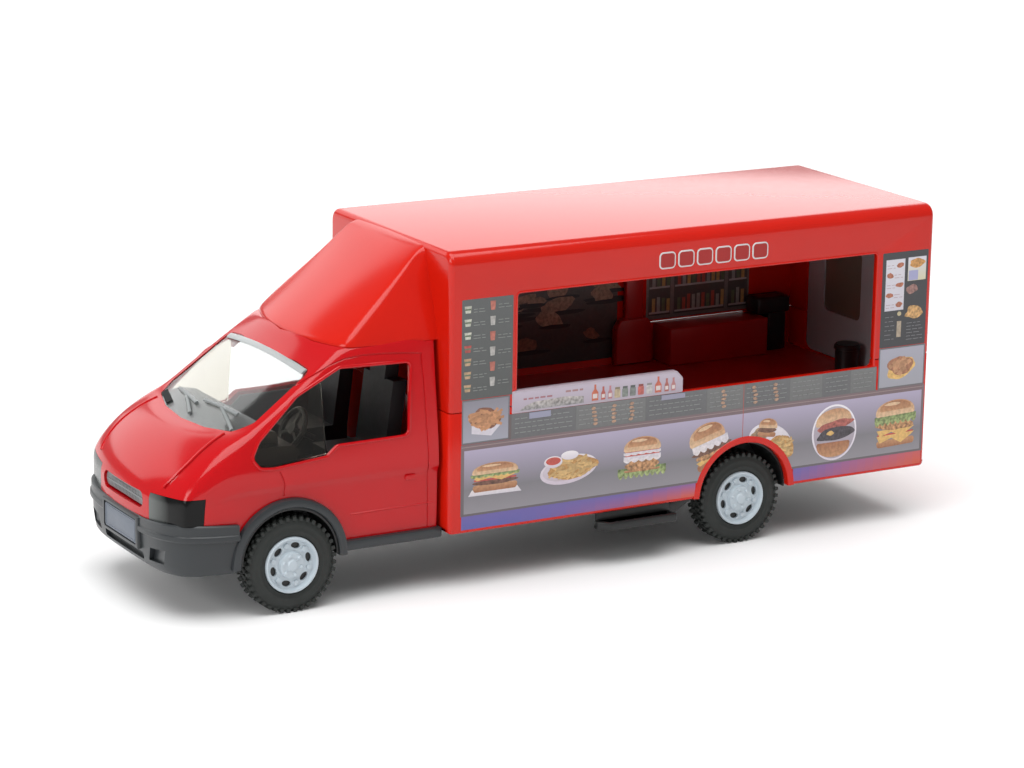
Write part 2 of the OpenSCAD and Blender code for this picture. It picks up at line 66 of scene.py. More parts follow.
def material(name, color, rough=0.4, metal=0.0, coat=0.0, grain=0.06, scale=90.0, bump=0.0,
             bump_scale=1500.0, glass=0.0, ior=1.46, spec=0.5, ink=False, fade=None):
    """Procedural finish in object coordinates: tone drifts by grain, gloss varies, and bump is in mm.
    fade = (axis, from, to, other colour) turns one colour into another along an axis, in mm."""
    m = bpy.data.materials.new(name)
    m.use_nodes = True
    nt = m.node_tree
    new, link = nt.nodes.new, nt.links.new
    shader = nt.nodes["Principled BSDF"]
    coord = new("ShaderNodeTexCoord").outputs["Object"]

    def noise(size, detail):
        n = new("ShaderNodeTexNoise")
        n.inputs["Scale"].default_value = size
        n.inputs["Detail"].default_value = detail
        link(coord, n.inputs["Vector"])
        return n.outputs["Fac"]

    tone = new("ShaderNodeMapRange")
    tone.inputs["To Min"].default_value = 1 - grain
    tone.inputs["To Max"].default_value = 1 + grain
    link(noise(scale, 4), tone.inputs["Value"])
    base = new("ShaderNodeMix")
    base.data_type = "RGBA"
    base.blend_type = "MULTIPLY"
    base.inputs["Factor"].default_value = 1
    if ink:
        printed = new("ShaderNodeAttribute")
        printed.attribute_name = "ink"
        link(printed.outputs["Color"], base.inputs["A"])
        # the alpha of the ink says how strongly its tone is mottled
        mottle = new("ShaderNodeMapRange")
        mottle.inputs["From Min"].default_value = 0.3
        mottle.inputs["From Max"].default_value = 0.7
        link(noise(1500, 3), mottle.inputs["Value"])
        centred = new("ShaderNodeMath")
        centred.operation = "SUBTRACT"
        centred.inputs[1].default_value = 0.5
        link(mottle.outputs["Result"], centred.inputs[0])
        swing = new("ShaderNodeMath")
        swing.operation = "MULTIPLY_ADD"
        link(centred.outputs[0], swing.inputs[0])
        link(printed.outputs["Alpha"], swing.inputs[1])
        link(tone.outputs["Result"], swing.inputs[2])
        link(swing.outputs[0], base.inputs["B"])
    elif fade:
        axis, start, stop, other = fade
        split = new("ShaderNodeSeparateXYZ")
        link(coord, split.inputs[0])
        ramp = new("ShaderNodeMapRange")
        shift = BOX_FRONT if axis == "Y" else 0
        ramp.inputs["From Min"].default_value = (start + shift) * MM
        ramp.inputs["From Max"].default_value = (stop + shift) * MM
        link(split.outputs[axis], ramp.inputs["Value"])
        mix = new("ShaderNodeMix")
        mix.data_type = "RGBA"
        mix.inputs["A"].default_value = (*color, 1)
        mix.inputs["B"].default_value = (*other, 1)
        link(ramp.outputs["Result"], mix.inputs["Factor"])
        link(mix.outputs["Result"], base.inputs["A"])
        link(tone.outputs["Result"], base.inputs["B"])
    else:
        base.inputs["A"].default_value = (*color, 1)
        link(tone.outputs["Result"], base.inputs["B"])
    link(base.outputs["Result"], shader.inputs["Base Color"])
    gloss = new("ShaderNodeMapRange")
    gloss.inputs["To Min"].default_value = rough * 0.85
    gloss.inputs["To Max"].default_value = min(rough * 1.2, 1)
    link(noise(scale * 6, 3), gloss.inputs["Value"])
    link(gloss.outputs["Result"], shader.inputs["Roughness"])
    if bump:
        relief = new("ShaderNodeBump")
        relief.inputs["Distance"].default_value = bump * MM
        relief.inputs["Strength"].default_value = 0.6
        link(noise(bump_scale, 3), relief.inputs["Height"])
        link(relief.outputs["Normal"], shader.inputs["Normal"])
    shader.inputs["Metallic"].default_value = metal
    shader.inputs["Specular IOR Level"].default_value = spec
    shader.inputs["Coat Weight"].default_value = coat
    shader.inputs["Coat Roughness"].default_value = 0.04
    shader.inputs["Transmission Weight"].default_value = glass
    shader.inputs["IOR"].default_value = ior
    return m


CAB_RED = material("cab gloss paint", (0.50, 0.003, 0.006), 0.13, bump=0.010, bump_scale=600, spec=0.45)
BOX_RED = material("box moulded plastic", (0.58, 0.010, 0.003), 0.16, bump=0.006, bump_scale=450, spec=0.45)
INSIDE_RED = material("inner moulded plastic", (0.40, 0.008, 0.008), 0.3, bump=0.01)
CLEAR = material("clear moulding", (0.90, 0.93, 0.92), 0.03, glass=1.0, ior=1.45, grain=0.01)
# pale, part clear strip on the windscreen's thick upper edge: painted highlight
EDGE_HIGHLIGHT = material("frosted trim", (0.55, 0.58, 0.58), 0.25, glass=0.35, grain=0.03)
LAMP = material("smoked lens", (0.13, 0.14, 0.135), 0.2, spec=0.25,
                fade=("Y", -57.3, -56.0, (0.003, 0.003, 0.003)))
GREY = material("grey plastic", (0.030, 0.034, 0.037), 0.32, bump=0.02, bump_scale=2600)
MESH = material("grille grey", (0.20, 0.21, 0.215), 0.4, bump=0.02)
SHELF = material("dashboard grey", (0.075, 0.080, 0.082), 0.45, bump=0.02)
TINT = material("tinted moulding", (0.70, 0.65, 0.56), 0.03, glass=1.0, ior=1.45, grain=0.01)
WIPER = material("wiper grey", (0.26, 0.28, 0.28), 0.25, glass=0.2, grain=0.03)
PLATE = material("plate grey", (0.155, 0.175, 0.21), 0.5, bump=0.02)
BLACK = material("black plastic", (0.012, 0.013, 0.013), 0.35, bump=0.03, bump_scale=2200)
DEEP = material("dark interior plastic", (0.008, 0.008, 0.009), 0.5, bump=0.03)
HUB = material("hub plastic", (0.50, 0.57, 0.62), 0.32, bump=0.015)
TYRE = material("tyre rubber", (0.019, 0.022, 0.020), 0.62, bump=0.04, bump_scale=1800, grain=0.15)
STEEL = material("axle steel", (0.60, 0.60, 0.60), 0.25, metal=1.0, bump=0.01)
DOOR = material("door grey", (0.38, 0.40, 0.42), 0.45, bump=0.02)
RED_LENS = material("tail lens", (0.50, 0.01, 0.01), 0.15, coat=0.7)
INK = material("printed sheet", (1, 1, 1), 0.3, coat=0.25, grain=0.03, ink=True)
TILE = material("sign tile", (0.36, 0.012, 0.01), 0.3)
RIM = material("sign tile rim", (0.62, 0.60, 0.60), 0.35)
BOARD = material("board plastic", (0.46, 0.40, 0.46), 0.3)
PANE = material("tinted pane", (0.16, 0.12, 0.09), 0.12, coat=0.5)
FLOOR = material("pale floor", (0.93, 0.93, 0.93), 0.7, grain=0.004)


# ---------- mesh helpers ----------

def build(name, verts, faces, bevel=0.0, segments=2, angle=35.0):
    """A closed mesh from points in mm, with its edges sharper than angle bevelled by bevel mm."""
    bm = bmesh.new()
    vs = [bm.verts.new((x * MM, (y + BOX_FRONT) * MM, z * MM)) for x, y, z in verts]
    for f in faces:
        if len(set(f)) > 2:
            bm.faces.new([vs[i] for i in f])
    bmesh.ops.remove_doubles(bm, verts=bm.verts[:], dist=1e-7)
    bmesh.ops.recalc_face_normals(bm, faces=bm.faces[:])
    if bevel:
        sharp = math.radians(angle)
        edges = [e for e in bm.edges if len(e.link_faces) == 2 and e.calc_face_angle(0) > sharp]
        bmesh.ops.bevel(bm, geom=edges, offset=bevel * MM, segments=segments, profile=0.5, affect="EDGES")
    mesh = bpy.data.meshes.new(name)
    bm.to_mesh(mesh)
    bm.free()
    obj = bpy.data.objects.new(name, mesh)
    bpy.context.scene.collection.objects.link(obj)
    return obj


def bar_faces(rings, across):
    """Faces of a bar made of rings of points, closed at both ends."""
    faces = [tuple(range(across)), tuple(range((rings - 1) * across, rings * across))]
    for j in range(rings - 1):
        a, b = j * across, (j + 1) * across
        faces += [(a + i, a + (i + 1) % across, b + (i + 1) % across, b + i) for i in range(across)]
    return faces


def prism(name, outline, axis, a, b, bevel=0.0, segments=2, angle=35.0):
    """The outline drawn out along an axis, from a to b."""
    put = AXES[axis]
    verts = [put(u, v, a) for u, v in outline] + [put(u, v, b) for u, v in outline]
    return build(name, verts, bar_faces(2, len(outline)), bevel, segments, angle)


def block(name, lo, hi, bevel=0.0, segments=2):
    outline = [(lo[0], lo[1]), (hi[0], lo[1]), (hi[0], hi[1]), (lo[0], hi[1])]
    return prism(name, outline, "z", lo[2], hi[2], bevel, segments)


def rounded(points, radius, steps=6):
    """The outline with its corners rounded; radius is one number or one per corner."""
    out, n = [], len(points)
    for i, p in enumerate(points):
        r = radius[i] if isinstance(radius, (list, tuple)) else radius
        p, a, b = Vector(p), Vector(points[i - 1]), Vector(points[(i + 1) % n])
        u, v = (a - p).normalized(), (b - p).normalized()
        half = math.acos(max(-1, min(1, u.dot(v)))) / 2
        if r <= 0 or half > 1.5:
            out.append(tuple(p))
            continue
        t = min(r / math.tan(half), (a - p).length * 0.49, (b - p).length * 0.49)
        r = t * math.tan(half)
        centre = p + (u + v).normalized() * (r / math.sin(half))
        start, end = p + u * t - centre, p + v * t - centre
        sweep = start.angle_signed(end)
        for k in range(steps + 1):
            out.append(tuple(centre + Matrix.Rotation(-sweep * k / steps, 2) @ start))
    return out


def rect(x0, y0, x1, y1, r=0.0, steps=6):
    return rounded([(x0, y0), (x1, y0), (x1, y1), (x0, y1)], r, steps)


def turned(points, x, y, turn):
    """The points turned by turn degrees and then moved by (x, y)."""
    c, s = math.cos(math.radians(turn)), math.sin(math.radians(turn))
    return [(x + c * a - s * b, y + s * a + c * b) for a, b in points]


def ellipse(cx, cy, rx, ry, n=28, turn=0.0):
    pts = [(rx * math.cos(2 * math.pi * k / n), ry * math.sin(2 * math.pi * k / n)) for k in range(n)]
    return turned(pts, cx, cy, turn)


def curve(points, steps=6, closed=False):
    """Points along a smooth curve through the given ones."""
    pts = [Vector(p) for p in points]
    n, out = len(pts), []
    get = (lambda i: pts[i % n]) if closed else (lambda i: pts[max(0, min(n - 1, i))])
    for i in range(n if closed else n - 1):
        a, b, c, d = get(i - 1), get(i), get(i + 1), get(i + 2)
        for k in range(steps):
            t = k / steps
            out.append(0.5 * (2 * b + (c - a) * t + (2 * a - 5 * b + 4 * c - d) * t * t
                              + (3 * b - a - 3 * c + d) * t ** 3))
    return out if closed else out + [pts[-1]]


def tube(name, path, radius, sides=8, closed=False, flat=1.0, normal=(1, 0, 0)):
    """A round or flattened bar along a path; flat scales it along the given normal."""
    path = [Vector(p) for p in path]
    n, verts = len(path), []
    for i, p in enumerate(path):
        a = path[i - 1] if closed or i else p
        b = path[(i + 1) % n] if closed or i < n - 1 else p
        t = (b - a).normalized()
        up = Vector(normal)
        side = t.cross(up).normalized()
        up = side.cross(t)
        for k in range(sides):
            w = 2 * math.pi * k / sides
            verts.append(p + side * math.cos(w) * radius + up * math.sin(w) * radius * flat)
    faces = []
    for i in range(n if closed else n - 1):
        j = (i + 1) % n
        for k in range(sides):
            m = (k + 1) % sides
            faces.append((i * sides + k, i * sides + m, j * sides + m, j * sides + k))
    if not closed:
        faces += [tuple(range(sides)), tuple(range((n - 1) * sides, n * sides))]
    return build(name, verts, faces)


def lathe(name, profile, centre, steps=64, bevel=0.0):
    """A closed (x, radius) profile turned round the X axis through centre."""
    n, verts, faces = len(profile), [], []
    for k in range(steps):
        w = 2 * math.pi * k / steps
        for x, r in profile:
            verts.append((centre[0] + x, centre[1] + r * math.cos(w), centre[2] + r * math.sin(w)))
    for k in range(steps):
        j = (k + 1) % steps
        for i in range(n):
            m = (i + 1) % n
            if profile[i][1] < 1e-6 and profile[m][1] < 1e-6:
                continue
            faces.append((k * n + i, k * n + m, j * n + m, j * n + i))
    return build(name, verts, faces, bevel)


def bake(obj):
    """Replaces the object's modifiers by their result."""
    graph = bpy.context.evaluated_depsgraph_get()
    mesh = bpy.data.meshes.new_from_object(obj.evaluated_get(graph))
    obj.modifiers.clear()
    obj.data = mesh
    return obj


def drop(*objs):
    for o in objs:
        bpy.data.objects.remove(o, do_unlink=True)


def combine(obj, tools, operation="DIFFERENCE"):
    """Cuts the tools from the object, or keeps only what lies inside them."""
    for t in tools:
        m = obj.modifiers.new("bool", "BOOLEAN")
        m.operation, m.object, m.solver = operation, t, "EXACT"
    bake(obj)
    drop(*tools)
    return obj


def soften(obj, width, segments=2, angle=40):
    """Bevels the object's sharp edges by width mm."""
    m = obj.modifiers.new("bevel", "BEVEL")
    m.width, m.segments, m.limit_method = width * MM, segments, "ANGLE"
    m.angle_limit = math.radians(angle)
    return bake(obj)


def merge(name, objs):
    """One object made of several, keeping their materials."""
    bm, mats = bmesh.new(), []
    for o in objs:
        own = [x for x in o.data.materials] or [None]
        for x in own:
            if x not in mats:
                mats.append(x)
        count = len(bm.faces)
        bm.from_mesh(o.data)
        bm.faces.ensure_lookup_table()
        for f in bm.faces[count:]:
            f.material_index = mats.index(own[min(f.material_index, len(own) - 1)])
    mesh = bpy.data.meshes.new(name)
    bm.to_mesh(mesh)
    bm.free()
    for x in mats:
        mesh.materials.append(x)
    obj = bpy.data.objects.new(name, mesh)
    bpy.context.scene.collection.objects.link(obj)
    drop(*objs)
    return obj


def copy(obj, name, mirror=False, move=(0, 0, 0)):
    """A copy of the object, mirrored left to right or moved by some mm."""
    mesh = obj.data.copy()
    if mirror:
        mesh.transform(Matrix.Scale(-1, 4, (1, 0, 0)))
        mesh.flip_normals()
    mesh.transform(Matrix.Translation(Vector(move) * MM))
    out = bpy.data.objects.new(name, mesh)
    bpy.context.scene.collection.objects.link(out)
    return out


def pair(tool):
    """The cutter on the left and its mirror image on the right."""
    return [tool, copy(tool, tool.name + "_right", mirror=True)]


def dress(obj, mat):
    obj.data.materials.clear()
    obj.data.materials.append(mat)
    return obj


def piece(obj, mat=None, body="truck", replaces=(), angle=35):
    """Shades the object smooth below angle and hands it to the frame."""
    if mat:
        dress(obj, mat)
    obj.data.polygons.foreach_set("use_smooth", [True] * len(obj.data.polygons))
    obj.data.set_sharp_from_angle(angle=math.radians(angle))
    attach(obj, body)
    if replaces:
        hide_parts(*replaces)
    return obj


def both(obj, name, mat=None, node=None, angle=35):
    """The piece on the left and its mirror image on the right."""
    other = copy(obj, name + "_right", mirror=True)
    obj.name = name + "_left"
    piece(obj, mat, replaces=[node + "_left"] if node else (), angle=angle)
    piece(other, mat, replaces=[node + "_right"] if node else (), angle=angle)


# ---------- cab ----------

# Rear to nose: y at the side, y at the middle, half width at the shoulder, height at the shoulder,
# height at the middle, and how far in and how far down the lines beside the shoulder crease lie.
STATIONS = [
    (-1, -1, 20.9, 50.7, 52.0, 1.2, 1.2), (-10, -11, 20.2, 50.6, 51.8, 1.2, 1.2),
    (-19.2, -22.6, 18.9, 50.1, 50.9, 1.2, 1.2), (-20.6, -24.2, 18.9, 49.5, 50.0, 1.2, 1.2),
    (-24.6, -27.2, 19.3, 46.8, 46.6, 1.2, 1.2), (-31.8, -35.6, 20.0, 41.8, 40.6, 1.2, 1.2),
    (-38.4, -43.8, 20.7, 36.9, 35.0, 1.4, 1.6), (-40.4, -46.0, 21.2, 35.8, 34.3, 2.0, 2.2),
    (-44.4, -48.8, 21.9, 33.9, 33.6, 3.4, 3.0), (-49.0, -52.4, 22.1, 31.1, 31.2, 4.0, 3.6),
    (-52.4, -55.4, 22.1, 27.9, 28.5, 4.0, 3.4), (-54.1, -57.1, 21.9, 25.5, 26.1, 3.4, 2.4),
    (-54.7, -57.8, 21.6, 24.2, 24.1, 3.0, 1.2),
]
# heights of the lines along the side; those above the waist come closer together over the nose
BELT = [12.6, 17.5, 22.8, 24.2, 25.2, 26.3, 29.0]
WAIST = BELT[1]
ACROSS = [0, 0.22, 0.45, 0.68]


def door_x(z):
    """Half width of the cab at height z, with the shallow step along the door."""
    if z < 26:
        return 22.75 + 0.2 * min((z - 12) / 6, 1) + 0.65 * min(max(z - 24.2, 0) / 1.0, 1)
    return 23.6 - max(z - 32, 0) * 0.155


def cab_cage():
    """Points and faces of the cab's left half, open at the rear and below."""
    verts, faces = [], []

    def add(p):
        verts.append(p)
        return len(verts) - 1

    rows, cols = [], []
    for ys, yc, xs, zs, zc, inset, drop_z in STATIONS:
        us = ACROSS + [1 - inset / xs, 1.0]
        rows.append([add((u * xs, ys + (yc - ys) * (1 - u ** 2.2), zs + (zc - zs) * (1 - u ** 2.4)))
                     for u in us])
        top = zs - drop_z
        high = min(BELT[-1], top - 0.8)
        levels = [z if z <= WAIST else WAIST + (z - WAIST) * (high - WAIST) / (BELT[-1] - WAIST)
                  for z in BELT] + [top]
        nose = min(max((-44 - ys) / 9, 0), 1) ** 1.6
        col = []
        for z in levels:
            x = door_x(z) * (1 - nose) + (xs + 0.4) * nose
            if z == top:
                x = max(xs + 0.35, min(x, xs + 1)) if ys < -38 else door_x(z) * 0.75 + xs * 0.25
            elif z > 31 and ys < -38:
                x = min(x, xs + 1.2)
            col.append(add((x, ys, z)))
        cols.append(col + [rows[-1][-1]])
    for a, b in zip(rows, rows[1:]):
        faces += [(a[i], b[i], b[i + 1], a[i + 1]) for i in range(len(a) - 1)]
    for a, b in zip(cols, cols[1:]):
        faces += [(a[i], a[i + 1], b[i + 1], b[i]) for i in range(len(a) - 1)]
    ys, yc, xs, _, _, inset, _ = STATIONS[-1]
    last = rows[-1]
    for j in range(len(BELT), -1, -1):
        x, y, z = verts[cols[-1][j]]
        us = ACROSS + [1 - inset / xs]
        row = [add((u * x, ys + (yc - 0.3 - ys) * (1 - u ** 2.6), z)) for u in us] + [cols[-1][j]]
        faces += [(last[i], row[i], row[i + 1], last[i + 1]) for i in range(len(row) - 1)]
        last = row
    return verts, faces


def shut(obj, planes):
    """Closes the open rim of a surface with one flat face in each (axis, mm) plane."""
    bm = bmesh.new()
    bm.from_mesh(obj.data)
    for axis, value in planes:
        at = (value + (BOX_FRONT if axis == 1 else 0)) * MM
        rim = [e for e in bm.edges
               if len(e.link_faces) == 1 and all(abs(v.co[axis] - at) < 2e-6 for v in e.verts)]
        ends = [v for e in rim for v in e.verts if sum(v in r.verts for r in rim) == 1]
        chain, left = [ends[0] if ends else rim[0].verts[0]], set(rim)
        while left:
            step = next((e for e in chain[-1].link_edges if e in left), None)
            if not step:
                break
            left.discard(step)
            chain.append(step.other_vert(chain[-1]))
        if chain[0] == chain[-1]:
            chain.pop()
        bm.faces.new(chain)
    bmesh.ops.recalc_face_normals(bm, faces=bm.faces[:])
    bm.to_mesh(obj.data)
    bm.free()


def smooth_solid(name, verts, faces, planes, lid=()):
    """A cage of the left half, mirrored, joined across its lid line, subdivided and closed."""
    n = len(verts)
    faces = faces + [tuple(n + i for i in reversed(f)) for f in faces]
    faces += [(a, b, n + b, n + a) for a, b in zip(lid, lid[1:])]
    obj = build(name, verts + [(-x, y, z) for x, y, z in verts], faces)
    m = obj.modifiers.new("subdivide", "SUBSURF")
    m.levels, m.boundary_smooth = 3, "PRESERVE_CORNERS"
    bake(obj)
    shut(obj, planes)
    return obj


cab = smooth_solid("cab_body", *cab_cage(), [(1, -1), (2, BELT[0])])
cab_skin = BVHTree.FromObject(cab, bpy.context.evaluated_depsgraph_get())


def on_side(y, z, lift=0.0):
    """The point of the cab's left side at (y, z), mm."""
    hit = cab_skin.ray_cast(Vector((0.05, (y + BOX_FRONT) * MM, z * MM)), Vector((-1, 0, 0)))[0]
    return (hit.x / MM + lift, y, z)


def on_top(x, y, lift=0.0):
    """The point of the cab's upper side at (x, y), mm."""
    hit = cab_skin.ray_cast(Vector((x * MM, (y + BOX_FRONT) * MM, 0.08)), Vector((0, 0, -1)))[0]
    return (x, y, hit.z / MM + lift)


def mirrored(points):
    return [(-x, *rest) for x, *rest in reversed(points)]


def cab_hollow():
    """The room inside the cab, from its side view, front view and plan."""
    side = [(1, 10), (1, 47), (-3, 48.9), (-17.8, 48.2), (-19.4, 47.8), (-23.3, 44.8), (-30.8, 39.4),
            (-38, 34), (-40, 32.9), (-44, 31.6), (-49, 29.2), (-52.6, 25.8), (-54.6, 23.2), (-56.4, 22.6),
            (-56.4, 10)]
    half = [(21.8, 10), (22.2, 25), (22.2, 33), (19.7, 46.5), (17.6, 48.9)]
    plan = [(22.2, 2), (22.2, -42), (21.2, -46), (20.6, -50), (19.6, -52.5), (17.2, -54.3), (11, -55.7),
            (2, -56.3)]
    body = prism("hollow", side, "x", -24, 24)
    return combine(body, [prism("front_view", half + mirrored(half), "y", -60, 2),
                          prism("plan", plan + mirrored(plan), "z", 5, 60)], "INTERSECT")


WINDOW = rounded([(-6, 46.3), (-21.2, 46.5), (-30.5, 41.9), (-39.1, 34.2), (-41, 31.2), (-39.4, 29.2),
                  (-36.4, 28.9), (-25.1, 29.9), (-22.8, 31.8), (-7.4, 32)],
                 [1.2, 1, 4, 3, 1.4, 1.4, 2, 1, 1, 1.2])
SCREEN = [(-18.1, -26.2), (0, -26.9), (18.1, -26.2), (18.9, -38.6), (16.6, -42.3),
          (9, -44.5), (0, -45.3), (-9, -44.5), (-16.6, -42.3), (-18.9, -38.6)]
# the way that the windscreen faces
SCREEN_NORMAL = (0, -0.5, 0.86)
FAIRING_FOOT = [(-19, -20), (-12, -22.5), (0, -23.9), (12, -22.5), (19, -20), (21.1, 0), (21.1, 4),
                (-21.1, 4), (-21.1, 0)]
DOOR_SEAM = [(-3.1, 13), (-3.3, 24), (-3.5, 33), (-3.9, 46), (-5.3, 47.7), (-20, 47.9), (-31.2, 42.6)]
WING_SEAM = [(-34.3, 23.2), (-34.5, 26), (-35.4, 28.2)]
HOOD_SEAM = curve([(16.2, -43.4), (16.9, -47.5), (17.3, -50.8), (17, -53.2), (16.3, -54.8), (15.6, -55.7)])


def lamp_room(name, gap=0.0):
    """The room of the left headlamp at the front corner, larger by gap."""
    front = [(11.7 - gap, 18 - gap), (16.5, 18.9 - gap), (21, 19.35 - gap), (30, 19.35 - gap),
             (30, 24.9 + gap), (11.7 - gap, 23.9 + gap)]
    side = [(-60, 10), (-60, 30), (-50.1 + gap, 30), (-51.6 + gap, 10)]
    return combine(prism(name, front, "y", -60, -49.9 + gap), [prism("side", side, "x", 0, 31)], "INTERSECT")


def header_cut():
    """Thins the header behind the upper edge of the windscreen."""
    verts = []
    for k in range(-10, 11):
        x, y, z = on_top(1.6 * k, -26.2 - 0.7 * (1 - (k / 10) ** 2))
        verts += [(x, y - 0.4, z - 7), (x, y - 0.4, z - 0.9), (x, y + 3, z + 1.8), (x, y + 3, z - 5)]
    return build("header_cut", verts, bar_faces(21, 4))


lamp = combine(copy(cab, "lamp"), [lamp_room("room")], "INTERSECT")
combine(lamp, [prism("inside", [(0, -54.6), (17, -53.4), (19.3, -51.8), (20.4, -48), (0, -48)], "z", 10, 30)])

corner = prism("corner", [(16, 17), (16, 18.7), (21, 19.33), (30, 19.33), (30, 17)], "y", -60, -50.5)
tools = [cab_hollow(),
         *pair(lathe("arch", [(14, 0), (30, 0), (30, 12.15), (14, 12.15)], (0, *ARCH), 96)),
         prism("window", WINDOW, "x", 17, 30),
         prism("window_right", WINDOW, "x", -30, -17),
         prism("screen", rounded(SCREEN, 1.6, 4), "z", 33, 46.6),
         block("nose", (-30, -60, 10), (30, -43.8, 18.45)),
         corner,
         block("sill", (-30, -2, 10), (30, 0, 12.65)),
         prism("slot", rect(-9.4, 20.2, 9.4, 23.5, 1.5), "y", -60, -55),
         prism("foot", FAIRING_FOOT, "z", 49.85, 55),
         *pair(lamp_room("lamp_cut", 0.06)),
         copy(corner, "corner_right", mirror=True)]
for seam in (DOOR_SEAM, WING_SEAM):
    tools += pair(tube("seam", [on_side(p.x, p.y) for p in curve(seam, 4)], 0.2, 7))
tools += pair(tube("hood_seam", [on_top(p.x, p.y) for p in HOOD_SEAM], 0.24, 6, normal=(0, 0, 1)))
tools.append(header_cut())
combine(cab, tools)
piece(cab, CAB_RED, replaces=["cab_shell"], angle=32)
both(lamp, "headlamp", LAMP, "headlamp")

# raised edge of the hood, lips round the side windows, the moulded line and the door handle
path = [on_top(p.x - 0.5, p.y, 0.02) for p in HOOD_SEAM]
edge = tube("hood_edge", path, 0.34, 8, flat=0.7, normal=(0, 0, 1))
both(edge, "hood_edge", CAB_RED)
lip = tube("window_lip", [on_side(y, z, 0.02) for y, z in WINDOW], 0.34, 8, True, 0.8)
both(lip, "window_lip", CAB_RED)
line = tube("door_line", [on_side(y, 17.6 + 0.01 * (y + 20), 0.0) for y in range(-20, -1)], 0.17, 6, flat=0.7)
both(line, "door_line", CAB_RED)
handle = prism("door_handle", rect(-8.2, 23.0, -5.8, 24.1, 0.4), "x", 22.6, 23.3, 0.15)
both(handle, "door_handle", CAB_RED)


def screen_sheet(thick, lift):
    """Points and faces of the windscreen, a sheet lying just under the cab's own surface."""
    rows, nx, ny = [], 28, 16
    for j in range(ny + 1):
        t = j / ny
        row = []
        for i in range(-nx, nx + 1):
            u = i / nx
            y0 = -26.0 - 0.7 * (1 - abs(u) ** 2.2)
            y1 = -42.1 - 3.0 * (1 - abs(u) ** 2.2)
            half = 18.05 + 0.75 * min(t / 0.8, 1) - 2.2 * max(t - 0.8, 0) / 0.2
            row.append(on_top(u * half, y0 + (y1 - y0) * t, lift))
        rows.append(row)
    flat = [p for r in rows for p in r]
    n, w = len(flat), len(rows[0])
    verts = flat + [(x, y + thick * 0.5, z - thick) for x, y, z in flat]
    faces = []
    for j in range(ny):
        for i in range(w - 1):
            a = j * w + i
            faces += [(a, a + 1, a + w + 1, a + w), (n + a, n + a + w, n + a + w + 1, n + a + 1)]
    rim = list(range(w)) + [j * w + w - 1 for j in range(1, ny + 1)]
    rim += [ny * w + i for i in range(w - 2, -1, -1)] + [j * w for j in range(ny - 1, 0, -1)]
    faces += [(a, b, n + b, n + a) for a, b in zip(rim, rim[1:] + rim[:1])]
    return verts, faces


glass = build("windscreen", *screen_sheet(0.8, -0.22))
piece(glass, CLEAR, replaces=["cab_glazing"])
quarter = rounded([(-25, 44.2), (-30.6, 41.4), (-39, 33.9), (-40.3, 31.2), (-39.2, 29.6), (-36.4, 29.2),
                   (-25, 30.2)], [0.3, 3, 3, 1.2, 1.2, 2, 0.3])
outer = [on_side(y, z, -0.75) for y, z in quarter]
inner = [(x - 0.7, y, z) for x, y, z in outer]
both(build("quarter_glass", outer + inner, bar_faces(2, len(outer))), "quarter_glass", TINT)

# wipers moulded on the windscreen, and the pale strip along its upper edge, whose pale colour is a painted
# highlight of the glazing's thick clear edge
WIPERS = {
    "wiper_a": [(-12.6, -40.0), (-8.3, -40.5), (-1.5, -41.3)],
    "wiper_a_blade": [(-8.4, -40.5), (-4.1, -42.0), (0.2, -43.6)],
    "wiper_b": [(0, -40.2), (5, -39.8), (9.4, -39.5), (13.0, -39.2)],
    "wiper_b_blade": [(7.1, -39.9), (11.6, -40.9), (16.2, -42.0)],
}
for name, points in WIPERS.items():
    path = [on_top(x, y, 0.05) for x, y in curve(points, 5)]
    piece(tube(name, path, 0.42, 6, flat=0.6, normal=SCREEN_NORMAL), WIPER)
path = [on_top(k * 1.7, -27.0 - 0.5 * (1 - abs(k / 10) ** 2), -0.05) for k in range(-10, 11)]
piece(tube("header_strip", path, 0.75, 8, flat=0.3, normal=SCREEN_NORMAL), EDGE_HIGHLIGHT)

# top of the dashboard, just under the lower edge of the windscreen
plan = [(0, -44.9), (9, -44.1), (16, -42), (18, -38.8), (18, -33), (-18, -33), (-18, -38.8), (-16, -42),
        (-9, -44.1)]
side = [(-46, 30), (-46, 32.6), (-41, 34.6), (-37, 35.2), (-33.5, 34.6), (-33, 30)]
scuttle = combine(prism("scuttle", plan, "z", 28, 40), [prism("side", side, "x", -19, 19, 0.4)], "INTERSECT")
piece(scuttle, SHELF)
vent = []
for k in range(11):
    x, y = -16.2 + 0.6 * k, -42.2 - 0.174 * k
    vent.append(tube("slat", [on_top(x, y), on_top(x + 0.3, y + 1.2)], 0.17, 6, normal=SCREEN_NORMAL))
piece(merge("cowl_vent", vent), BLACK)
side = [(-43, 14), (-43, 29.5), (-38, 28.6), (-24.5, 29.4), (-22.5, 31.2), (-3, 31.4), (-3, 14)]
liner = prism("liner", side, "x", 21.2, 21.9, 0.2)
both(combine(liner, [prism("arch", ellipse(*ARCH, 11.9, 11.9, 48), "x", 20, 23)]), "door_liner",
     SHELF)

# grille: a plate with upright ribs and one bar across
parts = [prism("plate", rect(-9.2, 20.5, 9.2, 23.2, 1.2), "y", -57.2, -55.4, 0.15)]
for k in range(25):
    x = -8.4 + 0.7 * k
    y = -57.42 + 0.0035 * x * x
    parts.append(prism("rib", rect(x - 0.16, 20.95, x + 0.16, 22.75, 0.06, 2), "y", y, y + 0.8))
parts.append(prism("bar", [(-8.6, 21.75), (8.6, 21.75), (8.6, 22.0), (-8.6, 22.0)], "y", -57.4, -56.6))
piece(merge("grille_bars", parts), MESH, replaces=["grille"])


# half of the bumper's plan, from the middle to its rear end
PLAN = [(0, -58.5), (6, -58.45), (12, -58.25), (16.4, -57.6), (19.6, -56.35), (21.8, -54.5), (23.1, -52),
        (23.8, -48.6), (24.1, -45), (24.1, -43.95)]
